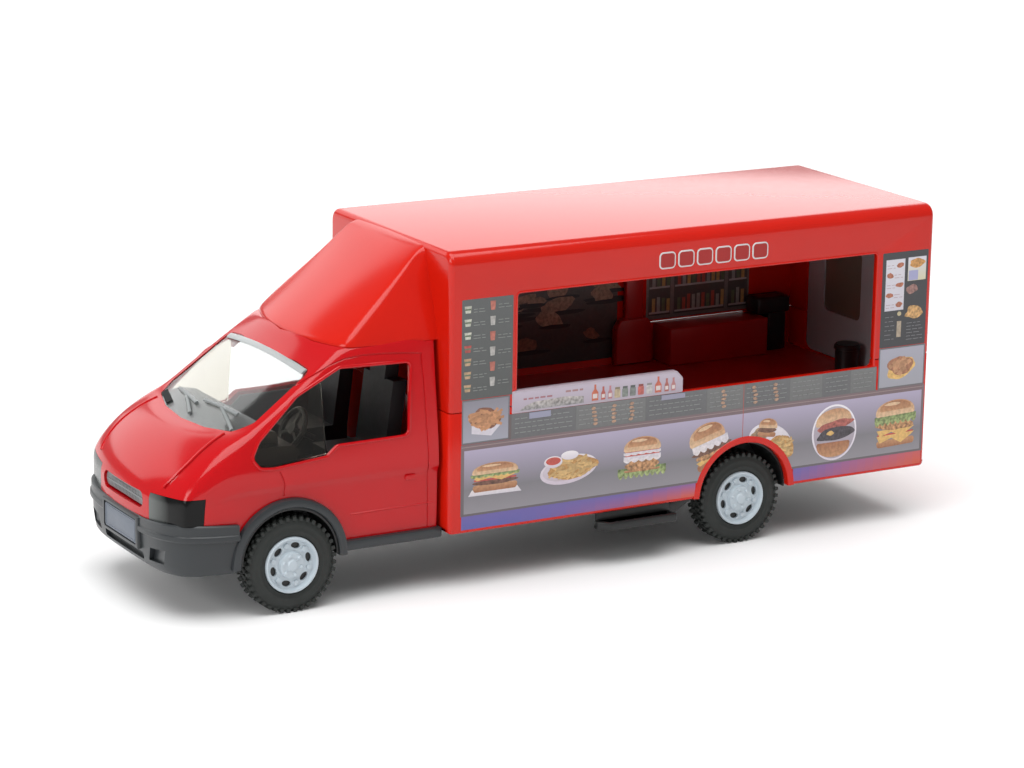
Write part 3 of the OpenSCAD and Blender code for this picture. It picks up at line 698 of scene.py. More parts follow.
# its section, as (distance outwards, height), with the rail in the upper half
SECTION = [(-2, 18.35), (-0.5, 18.35), (-0.25, 18.1), (-0.25, 17.2), (-0.25, 16.7), (0, 16.5), (0.05, 16.2),
           (0.05, 15.7), (-0.1, 15.45), (-0.5, 15.3), (-0.55, 14.8), (-0.6, 13.2), (-0.85, 11), (-1.1, 9.7),
           (-1.5, 9.1), (-2.2, 9), (-3, 9), (-3, 10), (-2.3, 15.6)]


def bumper():
    """The section swept round the plan, its upper part rising towards the corners."""
    half = curve(PLAN, 4)
    path = [Vector((-p.x, p.y)) for p in reversed(half[1:])] + half
    verts, n = [], len(path)
    for i, p in enumerate(path):
        along = (path[min(i + 1, n - 1)] - path[max(i - 1, 0)]).normalized()
        out = Vector((along.y, -along.x))
        for o, z in SECTION:
            q = p + out * o
            rise = 1 if z > 17.5 else 0.6 if z > 15.2 and o > -2 else 0
            if abs(p.x) > 20.5:
                rise *= 0.5 + 0.55 * min(max((-44 - p.y) / 8, 0), 1)
            else:
                rise *= 0.25 + 0.8 * min(max((abs(p.x) - 10) / 10.5, 0), 1)
            verts.append((q.x, q.y, z + rise))
    return build("bumper", verts, bar_faces(n, len(SECTION)))


fog = prism("fog", [(11.6, 10.6), (16.8, 10.9), (17.6, 13.8), (12.6, 13.3)], "y", -60, -56.4)
cuts = [lathe("arch", [(-30, 0), (30, 0), (30, 10.45), (-30, 10.45)], (0, *ARCH), 96),
        *pair(fog),
        prism("plate", rect(-8, 12.2, 8, 17.9, 0.5), "y", -60, -57.75),
        prism("slot", rect(-9.3, 10, 9.3, 11.5, 0.5), "y", -60, -56.6)]
piece(combine(bumper(), cuts), GREY, replaces=["front_bumper"], angle=30)
mount = prism("plate_mount", rect(-8.7, 11.9, 8.7, 18.5, 0.5), "y", -58.5, -57.1, 0.35)
combine(mount, [prism("well", rect(-7.7, 12.6, 7.7, 17.7, 0.4), "y", -60, -58.05)])
piece(mount, GREY, angle=30)
plate = prism("plate_blank", rect(-7.5, 12.7, 7.5, 17.4, 0.4), "y", -58.35, -57.8, 0.12)
path = [(x, -58.35, z) for x, z in rect(-7.1, 13.1, 7.1, 17.0, 0.4)]
rim = tube("plate_rim", path, 0.14, 6, True, normal=(0, 1, 0))
piece(merge("plate_blank", [plate, rim]), PLATE, replaces=["number_plate"])


def arch_bar(name, section, centre, start, stop, steps):
    """A section of (x, radius) points swept round a wheel arch, between two angles in degrees."""
    verts = []
    for k in range(steps + 1):
        a = math.radians(start + (stop - start) * k / steps)
        verts += [(x, centre[0] + r * math.cos(a), centre[1] + r * math.sin(a)) for x, r in section]
    return build(name, verts, bar_faces(steps + 1, len(section)))


# wheel-arch flares and sills
flare = arch_bar("flare", [(21.4, 10.45), (23.95, 10.45), (24.25, 10.7), (24.3, 11.6), (24.05, 12.1),
                           (23.5, 12.3), (21.4, 12.3)], ARCH, -2, 182, 48)
side = [(-22.6, 10.6), (-0.6, 10.6), (-0.3, 10.9), (-0.3, 12.6), (-21.6, 12.6)]
flare = merge("flare", [flare, prism("sill", side, "x", 20, 23.9, 0.25)])
both(flare, "arch_flare", GREY, "arch_sill", angle=30)


# ---------- fairing and serving box ----------

# Rising levels of the wind fairing: height, y of its front at the middle, and half width.
FAIRING = [(49.9, -23.6, 20.9), (50.6, -23.4, 20.8), (53.0, -20.4, 20.1), (56.2, -16.1, 19.1),
           (59.4, -11.7, 18.0), (62.2, -8.0, 17.2), (64.4, -5.2, 16.5), (66.2, -2.8, 15.8),
           (67.3, -0.8, 15.1), (67.7, 1.2, 13.6)]


def fairing_cage():
    """Points, faces and lid line of the fairing's left half."""
    verts, faces, rows = [], [], []
    for z, front, half in FAIRING:
        bow = 3.7 * (67.9 - z) / 18 + 0.5
        corner = half * 0.925 if z < 66 else half * 0.95
        row = [(corner * u, front + bow * u ** 2.3, z) for u in (0, 0.3, 0.6, 0.85, 1)]
        y = row[-1][1]
        row += [(corner + (half - corner) * t ** 0.6, y + (3 - y) * t, z) for t in (0.1, 0.4, 0.7, 1)]
        rows.append([len(verts) + i for i in range(len(row))])
        verts += row
    for a, b in zip(rows, rows[1:]):
        faces += [(a[i], b[i], b[i + 1], a[i + 1]) for i in range(len(a) - 1)]
    return verts, faces, rows[-1]


verts, faces, lid = fairing_cage()
fairing = smooth_solid("fairing", verts, faces, [(1, 3), (2, 49.9)], lid)
side = [(-21, 49), (-20.5, 51), (-9.6, 59), (-3.8, 63.2), (-0.6, 65.2), (-0.6, 49)]
piece(combine(fairing, [prism("inside", side, "x", -14.5, 14.5)]), BOX_RED, angle=32)

end = rounded([(-BOX_SIDE, 11.3), (BOX_SIDE, 11.3), (BOX_SIDE, 67.8), (-BOX_SIDE, 67.8)],
              [0.5, 0.5, 2.6, 2.6], 8)
upper = prism("box_upper_body", end, "y", 0, BOX_LENGTH, 1.1, 4, 50)
room = rounded([(-24.3, 5), (24.3, 5), (24.3, 66.3), (-24.3, 66.3)], [0, 0, 1.2, 1.2])
combine(upper, [prism("hollow", room, "y", 1.5, 113.5)])
combine(upper, [prism("doorway", rect(-17.7, 27.7, 8.4, 57, 2), "y", 112, 116),
                prism("opening", rect(14.8, 34.4, 100.8, 58.8, 0.9, 4), "x", 22, 27)])
lower = copy(upper, "box_lower_body")
combine(lower, [block("top", (-30, -2, 35.82), (30, 120, 70)),
                lathe("arch", [(-30, 0), (30, 0), (30, 10.9), (-30, 10.9)], (0, *REAR_ARCH), 96),
                block("below_arch", (-30, 58.5, 5), (30, 80.3, 10.9)),
                block("lamp", (19.95, 114.35, 13.95), (24.05, 116, 20.05)),
                block("lamp_right", (-24.05, 114.35, 13.95), (-19.95, 116, 20.05))])
combine(upper, [block("bottom", (-30, -2, 5), (30, 120, 35.95))])
soften(upper, 0.22)
soften(lower, 0.18)
piece(upper, BOX_RED, replaces=["box_upper"], angle=32)
piece(lower, BOX_RED, replaces=["box_lower"], angle=32)

# raised lips: serving window and the wheel arches of the box
lip = rounded([(14.8, 39.2), (14.8, 58.8), (100.8, 58.8), (100.8, 34.6)], [0, 0.9, 0.9, 0], 4)
piece(tube("serving_lip", [(25.62, y, z) for y, z in lip], 0.3, 8), BOX_RED)
lip = arch_bar("lip", [(24.6, 10.9), (25.75, 10.9), (25.95, 11.1), (25.95, 12.2), (25.8, 12.35),
                       (24.6, 12.35)], REAR_ARCH, 2, 178, 48)
both(lip, "arch_lip", BOX_RED, angle=30)

# blank sign tiles with pale rims
tiles = []
for k in range(6):
    y = 47.3 + 4.43 * k
    tile = prism("tile", rect(y + 0.25, 60.45, y + 3.65, 63.45, 0.7), "x", 25.7, 25.9)
    path = [(25.78, a, b) for a, b in rect(y + 0.2, 60.4, y + 3.7, 63.5, 0.75)]
    tiles += [dress(tile, TILE), dress(tube("rim", path, 0.2, 6, True, 0.8), RIM)]
piece(merge("sign_tile_row", tiles), replaces=["sign_tiles"])


# ---------- printed sheets ----------

ARCH_REACH = 12


def clear_of_arch(u, v):
    """Moves a printed point out of the round opening over the rear wheel."""
    y, z = REAR_ARCH
    d = math.hypot(u - y, v - z)
    return (u, v) if d > ARCH_REACH else (y + (u - y) * ARCH_REACH / d, z + (v - z) * ARCH_REACH / d)


class Sheet:
    """Flat printed shapes laid over one another, each a thin closed slab with its own ink."""

    def __init__(self, place, lift):
        self.place, self.lift, self.layer = place, lift, 0
        self.verts, self.faces, self.inks = [], [], []

    def add(self, outline, ink, mottle=0.0, top=None):
        """ink is a colour; top is the colour at the upper edge, if the shape is graded."""
        self.layer += 1
        h = self.lift(self.layer)
        outline = [clear_of_arch(u, v) for u, v in outline]
        vs = [p[1] for p in outline]
        low, high = min(vs), max(vs)
        n, b = len(outline), len(self.verts)
        area = sum(p[0] * q[1] - q[0] * p[1] for p, q in zip(outline, outline[1:] + outline[:1]))
        if area < 0:
            outline = outline[::-1]
        cols = []
        for u, v in outline:
            t = (v - low) / max(high - low, 1e-6)
            cols.append(tuple(a + ((top[i] if top else a) - a) * t for i, a in enumerate(ink)) + (mottle,))
        self.verts += [self.place(u, v, h) for u, v in outline] + [self.place(u, v, 0) for u, v in outline]
        new = [list(range(n)), list(range(2 * n - 1, n - 1, -1))]
        new += [[i, n + i, n + (i + 1) % n, (i + 1) % n] for i in range(n)]
        for f in new:
            self.faces.append([b + i for i in f])
            self.inks += [cols[i % n] for i in f]

    def make(self, name, slot="printed_sheet", replaces=(), flip=False):
        mesh = bpy.data.meshes.new(name)
        verts = [(x * MM, (y + BOX_FRONT) * MM, z * MM) for x, y, z in self.verts]
        faces = [f[::-1] for f in self.faces] if flip else self.faces
        mesh.from_pydata(verts, [], faces)
        inks, k = [], 0
        for f in self.faces:
            part = self.inks[k:k + len(f)]
            inks += part[::-1] if flip else part
            k += len(f)
        layer = mesh.color_attributes.new("ink", "FLOAT_COLOR", "CORNER")
        layer.data.foreach_set("color", [c for ink in inks for c in ink])
        obj = bpy.data.objects.new(name, mesh)
        bpy.context.scene.collection.objects.link(obj)
        dress(obj, INK)
        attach(obj, "truck")
        if replaces:
            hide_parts(*replaces)
        return obj


def blob(cx, cy, rx, ry, rough=0.12, n=26, seed=1, turn=0.0):
    """An uneven round."""
    rng = random.Random(seed)
    waves = [(k, rng.uniform(-rough, rough) / k, rng.uniform(0, 6.28)) for k in range(2, 9)]
    out = []
    for p in ellipse(0, 0, 1, 1, n):
        w = math.atan2(p[1], p[0])
        s = 1 + sum(a * math.cos(k * w + q) * 1.6 for k, a, q in waves)
        out.append((p[0] * s * rx, p[1] * s * ry))
    return turned(out, cx, cy, turn)


def dome(cx, base, rx, h, n=14, turn=0.0):
    """The top half of a bun."""
    pts = [(rx * math.cos(math.pi * k / n), h * max(math.sin(math.pi * k / n), 0) ** 0.8)
           for k in range(n + 1)]
    pts += [(-rx * 0.93, -h * 0.12), (rx * 0.93, -h * 0.12)]
    return turned(pts, cx, base, turn)


def wavy(cx, cy, rx, ry, waves=7, depth=0.3, turn=0.0):
    """A band with a straight upper edge and a scalloped lower one."""
    top, bottom, n = [], [], waves * 4
    for k in range(n + 1):
        t = -1 + 2 * k / n
        top.append((rx * t, ry))
        bottom.append((rx * t, -ry - depth * abs(math.sin(math.pi * waves * (t + 1) / 2))))
    return turned(top[::-1] + bottom, cx, cy, turn)


BUN, BUN_DARK, BUN_PALE = (0.50, 0.26, 0.13), (0.32, 0.13, 0.06), (0.66, 0.45, 0.28)
LEAF, LEAF_DARK, PATTY = (0.33, 0.38, 0.16), (0.16, 0.22, 0.08), (0.16, 0.075, 0.05)
TOMATO, CHEESE, CREAM = (0.48, 0.08, 0.06), (0.68, 0.42, 0.14), (0.72, 0.66, 0.66)
FRY, FRY_DARK, PAPER = (0.66, 0.43, 0.18), (0.45, 0.24, 0.08), (0.62, 0.58, 0.64)
CRUST = (0.42, 0.22, 0.10)


def shade(ink, tone):
    return tuple(c * tone for c in ink)


def blend(ink, other, share):
    return tuple(p + (q - p) * share for p, q in zip(ink, other))


def burger(s, cx, cy, w, h, layers, turn=0.0, seed=1):
    """Layers from the bottom: (kind, thickness share)."""
    total = sum(share for _, share in layers)
    z = cy - h / 2
    c, sn = math.cos(math.radians(turn)), math.sin(math.radians(turn))
    for k, (kind, share) in enumerate(layers):
        t = h * share / total
        off = z + t / 2 - cy
        x, y = cx - sn * off, cy + c * off
        if kind == "base":
            half = [(-w * 0.46, -t * 0.62), (w * 0.46, -t * 0.62), (w * 0.5, t * 0.5), (-w * 0.5, t * 0.5)]
            s.add(rounded(turned(half, x, y, turn), t * 0.45), BUN_DARK, 0.35, BUN)
        elif kind == "crown":
            s.add(dome(x, y - t * 0.42, w * 0.5, t * 1.02, turn=turn), BUN_PALE, 0.35, BUN)
            s.add(dome(x, y - t * 0.1, w * 0.4, t * 0.62, turn=turn), BUN, 0.4, BUN_DARK)
            shine = blob(x - w * 0.08, y + t * 0.3, w * 0.2, t * 0.12, 0.1, seed=seed, turn=turn)
            s.add(shine, BUN_PALE, 0.3)
        elif kind == "patty":
            s.add(blob(x, y, w * 0.5, t * 0.68, 0.1, 34, seed + k, turn), PATTY, 0.9)
        elif kind == "breaded":
            s.add(blob(x, y, w * 0.45, t * 0.72, 0.22, 34, seed + k, turn), CRUST, 1.3)
        elif kind == "leaf":
            s.add(wavy(x, y, w * 0.53, t * 0.45, 8, t * 0.5, turn), LEAF, 1.1, LEAF_DARK)
        elif kind == "tomato":
            disc = [(-w * 0.46, -t / 2), (w * 0.46, -t / 2), (w * 0.46, t / 2), (-w * 0.46, t / 2)]
            s.add(rounded(turned(disc, x, y, turn), t * 0.4), TOMATO, 0.5)
        elif kind == "cheese":
            melted = [(-w * 0.48, t / 2), (-w * 0.4, -t), (-w * 0.1, -t * 0.2), (w * 0.14, -t * 1.5),
                      (w * 0.36, -t * 0.3), (w * 0.49, t / 2)]
            s.add(turned(melted, x, y, turn), CHEESE, 0.3)
        elif kind == "cream":
            s.add(wavy(x, y, w * 0.5, t * 0.5, 5, t * 0.5, turn), CREAM, 0.3, PAPER)
        z += t


def fries(s, cx, cy, rx, ry, count, seed, long=2.6, wide=0.42, ink=FRY, dark=FRY_DARK):
    """A heap of short bars strewn over an oval."""
    rng = random.Random(seed)
    s.add(blob(cx, cy, rx * 0.9, ry * 0.9, 0.15, seed=seed), dark, 0.6)
    for _ in range(count):
        a, r = rng.uniform(0, 6.28), math.sqrt(rng.random())
        x, y = cx + rx * 0.8 * r * math.cos(a), cy + ry * 0.75 * r * math.sin(a)
        length = long * rng.uniform(0.6, 1)
        tone = rng.uniform(0.75, 1.15)
        bar = [(-length / 2, -wide / 2), (length / 2, -wide / 2), (length / 2, wide / 2),
               (-length / 2, wide / 2)]
        s.add(turned(bar, x, y, rng.uniform(-35, 50)), shade(ink, tone), 0.3,
              tuple(c * tone * 0.8 for c in ink))


def plated(s, cx, cy, rx, ry, turn, low, high):
    """An oval plate, graded from its lower to its upper edge."""
    s.add(ellipse(cx, cy, rx, ry, 40, turn), low, 0.1, high)


def burger_on_paper(s):
    s.add([(4.4, 18.7), (16.4, 18.5), (15.4, 19.8), (5.2, 19.9)], PAPER, 0.1, CREAM)
    burger(s, 10.4, 22.2, 10.4, 5.4, [("base", 1.7), ("patty", 1.0), ("tomato", 0.5), ("cheese", 0.7),
                                      ("leaf", 0.7), ("crown", 2.6)], seed=3)


def fries_with_dips(s):
    plated(s, 27.2, 21.5, 6.6, 2.9, 6, (0.58, 0.5, 0.58), (0.74, 0.68, 0.72))
    plated(s, 27.2, 21.7, 6.0, 2.4, 6, (0.5, 0.42, 0.48), (0.66, 0.6, 0.66))
    fries(s, 27.9, 21.9, 6.3, 2.7, 60, 5)
    s.add(ellipse(23.6, 23.4, 2.1, 1.2, 26), (0.62, 0.54, 0.6), 0, (0.8, 0.74, 0.76))
    s.add(ellipse(23.6, 23.6, 1.7, 0.8, 26), (0.5, 0.08, 0.06), 0.3)
    s.add(ellipse(27.4, 24.4, 2.0, 0.9, 26), (0.66, 0.6, 0.66), 0, (0.84, 0.8, 0.82))


def breaded_burger(s):
    s.add(wavy(44.4, 19.2, 5.7, 0.7, 9, 0.8), LEAF, 1.2, LEAF_DARK)
    burger(s, 44.4, 22.5, 8.8, 6.9, [("base", 0.5), ("breaded", 2.6), ("cream", 1.2), ("tomato", 0.5),
                                     ("cream", 0.6), ("tomato", 0.3), ("crown", 3.4)], seed=9)


def leaning_burger(s):
    burger(s, 60.8, 22.4, 8.8, 9.0, [("base", 1.4), ("cheese", 0.6), ("breaded", 1.2), ("patty", 1.2),
                                     ("cream", 1.4), ("crown", 3.6)], 16, seed=12)


def mixed_plate(s):
    plated(s, 75.4, 21.4, 5.6, 3.6, -24, (0.56, 0.5, 0.56), (0.74, 0.7, 0.74))
    fries(s, 78.0, 19.8, 3.6, 3.0, 40, 21, 2.0)
    s.add(blob(72.6, 22.8, 2.2, 1.6, 0.2, seed=4), (0.3, 0.2, 0.12), 1.0)
    burger(s, 74.6, 24.4, 4.6, 3.6, [("base", 1), ("patty", 1), ("crown", 2)], -8, seed=31)


def open_burger(s):
    s.add(ellipse(91.4, 21.4, 5.6, 6.0, 48), (0.66, 0.6, 0.68), 0.05, (0.84, 0.8, 0.84))
    s.add(ellipse(91.4, 21.4, 5.2, 5.6, 48), (0.36, 0.31, 0.36), 0.05, (0.44, 0.39, 0.45))
    s.add(dome(91.2, 23.6, 4.5, 2.9, turn=6), BUN_PALE, 0.4, BUN)
    s.add(blob(91.6, 22.9, 4.7, 1.0, 0.12, 34, 7, 8), (0.36, 0.10, 0.08), 0.9)
    s.add(blob(91.8, 21.1, 4.9, 1.35, 0.10, 34, 8, 5), (0.06, 0.05, 0.06), 1.0)
    s.add(blob(90.4, 21.3, 0.9, 0.5, 0.2, 14, 9), CHEESE, 0.3)
    s.add([(x, 37.2 - y) for x, y in dome(91.2, 18.2, 4.2, 2.9)], BUN, 0.45, BUN_DARK)


def tall_burger(s):
    burger(s, 107.0, 21.6, 10.0, 9.6, [("base", 1.2), ("cheese", 0.9), ("tomato", 0.3), ("cheese", 0.8),
                                       ("breaded", 1.4), ("leaf", 1.3), ("crown", 2.6)], 2, seed=17)


FOODS = {"food_a": burger_on_paper, "food_b": fries_with_dips, "food_c": breaded_burger,
         "food_d": leaning_burger, "food_e": mixed_plate, "food_f": open_burger, "food_g": tall_burger}


def write_lines(s, x0, x1, z, rows, step, ink, seed, thick=0.16):
    """Rows of short dashes in place of small print."""
    rng = random.Random(seed)
    for k in range(rows):
        x = x0
        while x < x1 - 0.5:
            w = rng.uniform(0.5, 1.6)
            s.add(rect(x, z - k * step, min(x + w, x1), z - k * step + thick), ink)
            x += w + 0.35


LAVENDER, MID_GREY, LOW_GREY = (0.42, 0.37, 0.50), (0.20, 0.19, 0.21), (0.27, 0.255, 0.28)
SLATE, DUSK_BLUE, DUSK_VIOLET = (0.085, 0.09, 0.088), (0.10, 0.105, 0.36), (0.14, 0.11, 0.36)
DUSK_RED, PANEL_EDGE, PANEL = (0.62, 0.09, 0.04), (0.15, 0.14, 0.15), (0.34, 0.34, 0.40)
CHALK = (0.26, 0.27, 0.26)
# the joints of the row of dark tiles, along the side
TILE_EDGES = [13.9, 28.6, 45, 59.5, 68.4, 79.8, 88, 95, 101.6]


def dusk_stripe(s, x0, x1, behind_arch):
    """The lowest stripe, turning from blue to red towards the rear."""
    steps = 16
    for k in range(steps):
        a, b = x0 + (x1 - x0) * k / steps, x0 + (x1 - x0) * (k + 1) / steps
        t = k / (steps - 1)
        low = 0.2 + 0.8 * t if behind_arch else t ** 2.4
        high = t * 0.8 if behind_arch else max(0.0, (t - 0.7) * 0.6)
        s.add(rect(a, 12.0, b, 14.75), blend(DUSK_BLUE, DUSK_RED, low), 0, blend(DUSK_VIOLET, DUSK_RED, high))


def print_back(s):
    """The sheet's stripe, its lavender band round the wheel arch, and the row of dark tiles."""
    reach = ARCH_REACH + 0.1
    arch = [(REAR_AXLE + reach * math.cos(math.radians(a)), REAR_ARCH[1] + reach * math.sin(math.radians(a)))
            for a in range(180, -1, -6)]
    dusk_stripe(s, 2.9, 57.4, False)
    dusk_stripe(s, 81.4, 113.9, True)
    s.add([(2.7, 14.75), (57.8, 14.75)] + [p for p in arch if p[1] > 14.75]
          + [(81, 14.75), (114.1, 14.75), (114.1, 29.3), (2.7, 29.3)],
          (0.13, 0.11, 0.12), 0, (0.19, 0.13, 0.14))
    edge = [(58, 15.2)] + [p for p in arch if 15.2 < p[1] < 20 and p[0] < 69] + [(61.4, 20)]
    s.add([(3.4, 15.2)] + edge + [(3.4, 20)], LOW_GREY, 0, MID_GREY)
    s.add([(2 * REAR_AXLE - x, z) for x, z in edge] + [(113.5, 20), (113.5, 15.2)], LOW_GREY, 0, MID_GREY)
    s.add([(3.4, 20), (58.6, 20)] + [p for p in arch if p[1] > 20]
          + [(80.2, 20), (113.5, 20), (113.5, 28.1), (3.4, 28.1)], MID_GREY, 0, LAVENDER)
    s.add(rect(13.3, 29.3, 14.1, 34.35), (0.13, 0.10, 0.10))
    # thin paler line along the middle of the brown band: painted highlight
    s.add(rect(2.8, 28.75, 113.9, 28.88), (0.32, 0.24, 0.24))
    s.add(rect(TILE_EDGES[0], 29.3, TILE_EDGES[-1], 34.35), (0.13, 0.13, 0.13), 0.05)
    for k, (a, b) in enumerate(zip(TILE_EDGES, TILE_EDGES[1:])):
        tone = (0.155, 0.155, 0.155) if k % 2 else (0.125, 0.125, 0.13)
        s.add(rect(a + 0.12, 29.42, b - 0.12, 34.25), tone, 0.12, shade(tone, 1.12))
    s.add(rect(68.43, 23.1, 68.57, 34.35), (0.42, 0.09, 0.07))


def print_tiles(s):
    """Dashes, skewers and two labels on the row of tiles."""
    for k, (a, b) in enumerate(zip(TILE_EDGES, TILE_EDGES[1:])):
        write_lines(s, a + 0.8, b - 0.8, 33.2, 4, 0.95, CHALK, 40 + k, 0.14)
    rng = random.Random(6)
    for cx in (33.0, 37.4, 41.6, 63.6, 71.2, 76.4):
        for k in range(5):
            bite = blob(cx + rng.uniform(-0.3, 0.3), 30.2 + 0.8 * k, 0.5, 0.3, 0.2, 12, k)
            s.add(bite, (0.42, 0.26, 0.18), 0.6)
    s.add(rect(17.9, 33.0, 22.8, 34.2), (0.30, 0.30, 0.40))
    s.add(rect(48.6, 33.2, 54.2, 34.2), (0.30, 0.29, 0.38))


def menu_front(s):
    """The slate beside the front edge, with two rows of cups."""
    s.add(rect(2.6, 38.4, 14.0, 58.4, 0.2, 2), SLATE, 0.05, (0.10, 0.105, 0.105))
    for k in range(7):
        z = 56.4 - 2.62 * k
        ink = (0.42, 0.07, 0.06) if k == 3 else (0.50, 0.50, 0.42) if k < 4 else (0.46, 0.30, 0.18)
        s.add([(3.4, z - 0.7), (4.5, z - 0.7), (4.75, z + 0.7), (3.15, z + 0.7)], ink, 0.5)
        s.add(rect(3.3, z - 0.15, 4.6, z + 0.2), (0.12, 0.16, 0.1), 0.3)
        write_lines(s, 5.2, 8.2, z - 0.1, 2, 0.55, CHALK, 60 + k, 0.12)
    for k in range(6):
        z = 56.8 - 3.05 * k
        ink = (0.5, 0.16, 0.12) if k % 2 == 0 else (0.46, 0.44, 0.42)
        s.add([(9.0, z - 0.9), (9.9, z - 0.9), (10.05, z + 0.9), (8.85, z + 0.9)], ink, 0.4, shade(ink, 0.8))
        write_lines(s, 10.7, 13.6, z, 2, 0.6, (0.25, 0.26, 0.25), 80 + k, 0.12)


def picture_wedges(s):
    s.add(rect(2.8, 29.35, 13.5, 38.3, 0.15, 2), PANEL_EDGE)
    s.add(rect(3.1, 29.7, 13.2, 38.0), PANEL, 0, (0.24, 0.23, 0.27))
    s.add([(5.0, 31.4), (9.4, 30.6), (11.4, 32.6), (5.0, 33.4)], PAPER, 0.1)
    fries(s, 8.0, 34.2, 3.9, 2.3, 46, 77, 3.0, 0.55, (0.56, 0.27, 0.13), (0.20, 0.08, 0.05))


def menu_rear(s):
    """The black menu beside the rear edge, with a pale card and small pictures."""
    s.add(rect(102.1, 38.2, 113.7, 58.4, 0.2, 2), (0.045, 0.045, 0.05), 0.05)
    s.add(rect(103.0, 46.0, 107.8, 56.9), (0.60, 0.57, 0.63), 0, (0.66, 0.64, 0.70))
    for k in range(5):
        z = 55.6 - 2.1 * k
        picture, x0, x1 = (104.1, 105.2, 107.4) if k % 2 else (106.6, 103.3, 105.4)
        s.add(blob(picture, z, 0.9, 0.55, 0.2, 16, k), (0.40, 0.14, 0.08), 0.7)
        write_lines(s, x0, x1, z, 2, 0.6, (0.42, 0.30, 0.34), 90 + k, 0.12)
    s.add(rect(108.6, 52.0, 113.2, 57.0), (0.62, 0.58, 0.40), 0, (0.66, 0.64, 0.72))
    s.add(rect(108.8, 52.1, 111.2, 54.2), (0.36, 0.36, 0.56))
    s.add(blob(110.9, 55.7, 1.9, 1.0, 0.15, 22, 5), (0.52, 0.26, 0.08), 0.9)
    s.add(blob(109.8, 50.2, 1.4, 1.0, 0.2, 20, 6), (0.30, 0.16, 0.14), 0.9)
    s.add(blob(110.6, 45.2, 2.3, 1.3, 0.2, 26, 8), (0.52, 0.30, 0.12), 1.0)
    s.add(rect(106.3, 40.2, 107.4, 43.6), (0.40, 0.32, 0.24), 0.4)
    s.add(blob(106.8, 45.2, 0.5, 0.5, 0.1, 12, 3), (0.5, 0.42, 0.26))
    for k in range(6):
        write_lines(s, 103.2, 105.6, 44.6 - 0.95 * k, 1, 1, (0.2, 0.2, 0.21), 120 + k, 0.12)
        write_lines(s, 108.8, 112.9, 42.9 - 0.7 * k, 1, 1, (0.2, 0.2, 0.21), 140 + k, 0.12)


def picture_bites(s):
    s.add(rect(102.1, 29.3, 113.9, 38.1, 0.15, 2), PANEL_EDGE)
    s.add(rect(102.4, 29.6, 113.6, 37.8), (0.34, 0.34, 0.38), 0, (0.38, 0.37, 0.44))
    s.add(blob(107.9, 33.4, 3.5, 2.2, 0.1, 26, 3, 20), CHEESE, 0.5)
    fries(s, 107.7, 34.0, 3.4, 2.3, 26, 78, 1.2, 0.9, (0.52, 0.27, 0.14), (0.34, 0.15, 0.08))


# each printed piece: what draws it, its height over the plastic, and the step between its layers
PRINTS = {
    "print_back": (print_back, 0.03, 0.0007), "print_tiles": (print_tiles, 0.068, 0.0004),
    "menu_front": (menu_front, 0.03, 0.0008), "picture_wedges": (picture_wedges, 0.03, 0.0006),
    "menu_rear": (menu_rear, 0.03, 0.0008), "picture_bites": (picture_bites, 0.03, 0.0006),
    **{name: (draw, 0.078, 0.0009) for name, draw in FOODS.items()},
}
for tag, side in (("left", 1), ("right", -1)):
    for name, (draw, base, step) in PRINTS.items():
        s = Sheet(lambda u, v, h: (side * (BOX_SIDE + h), u, v), lambda layer: base + step * layer)
        draw(s)
        stands_for = ["side_print_" + tag] if name == "print_back" else ()
        s.make(name + "_" + tag, replaces=stands_for, flip=side < 0)

# raised board on the serving sill, with its printed jars and bottles
board = rounded([(14.0, 34.35), (53.7, 34.35), (53.7, 37.4), (52.2, 38.95), (14.0, 38.95)],
                [0.2, 0.3, 0.9, 0.9, 0.2])
piece(prism("board", board, "x", 24.4, 25.84, 0.12), BOARD, replaces=["condiment_board"])
s = Sheet(lambda u, v, h: (25.84 + h, u, v), lambda layer: 0.002 + 0.0012 * layer)
s.add(rounded([(14.4, 34.7), (53.3, 34.7), (53.3, 37.2), (52.0, 38.55), (14.4, 38.55)],
              [0.2, 0.2, 0.8, 0.8, 0.2]), (0.42, 0.36, 0.43), 0, (0.50, 0.44, 0.52))
s.add([(15.6, 34.8), (30.4, 34.8), (30.4, 36.2), (26, 36.6), (19, 36.3), (17, 35.7)], (0.30, 0.29, 0.29), 0.9,
      (0.42, 0.38, 0.36))
write_lines(s, 16.6, 23.6, 36.9, 1, 1, (0.36, 0.16, 0.18), 3, 0.35)
write_lines(s, 26.2, 30.2, 37.4, 1, 1, (0.36, 0.20, 0.20), 5, 0.4)
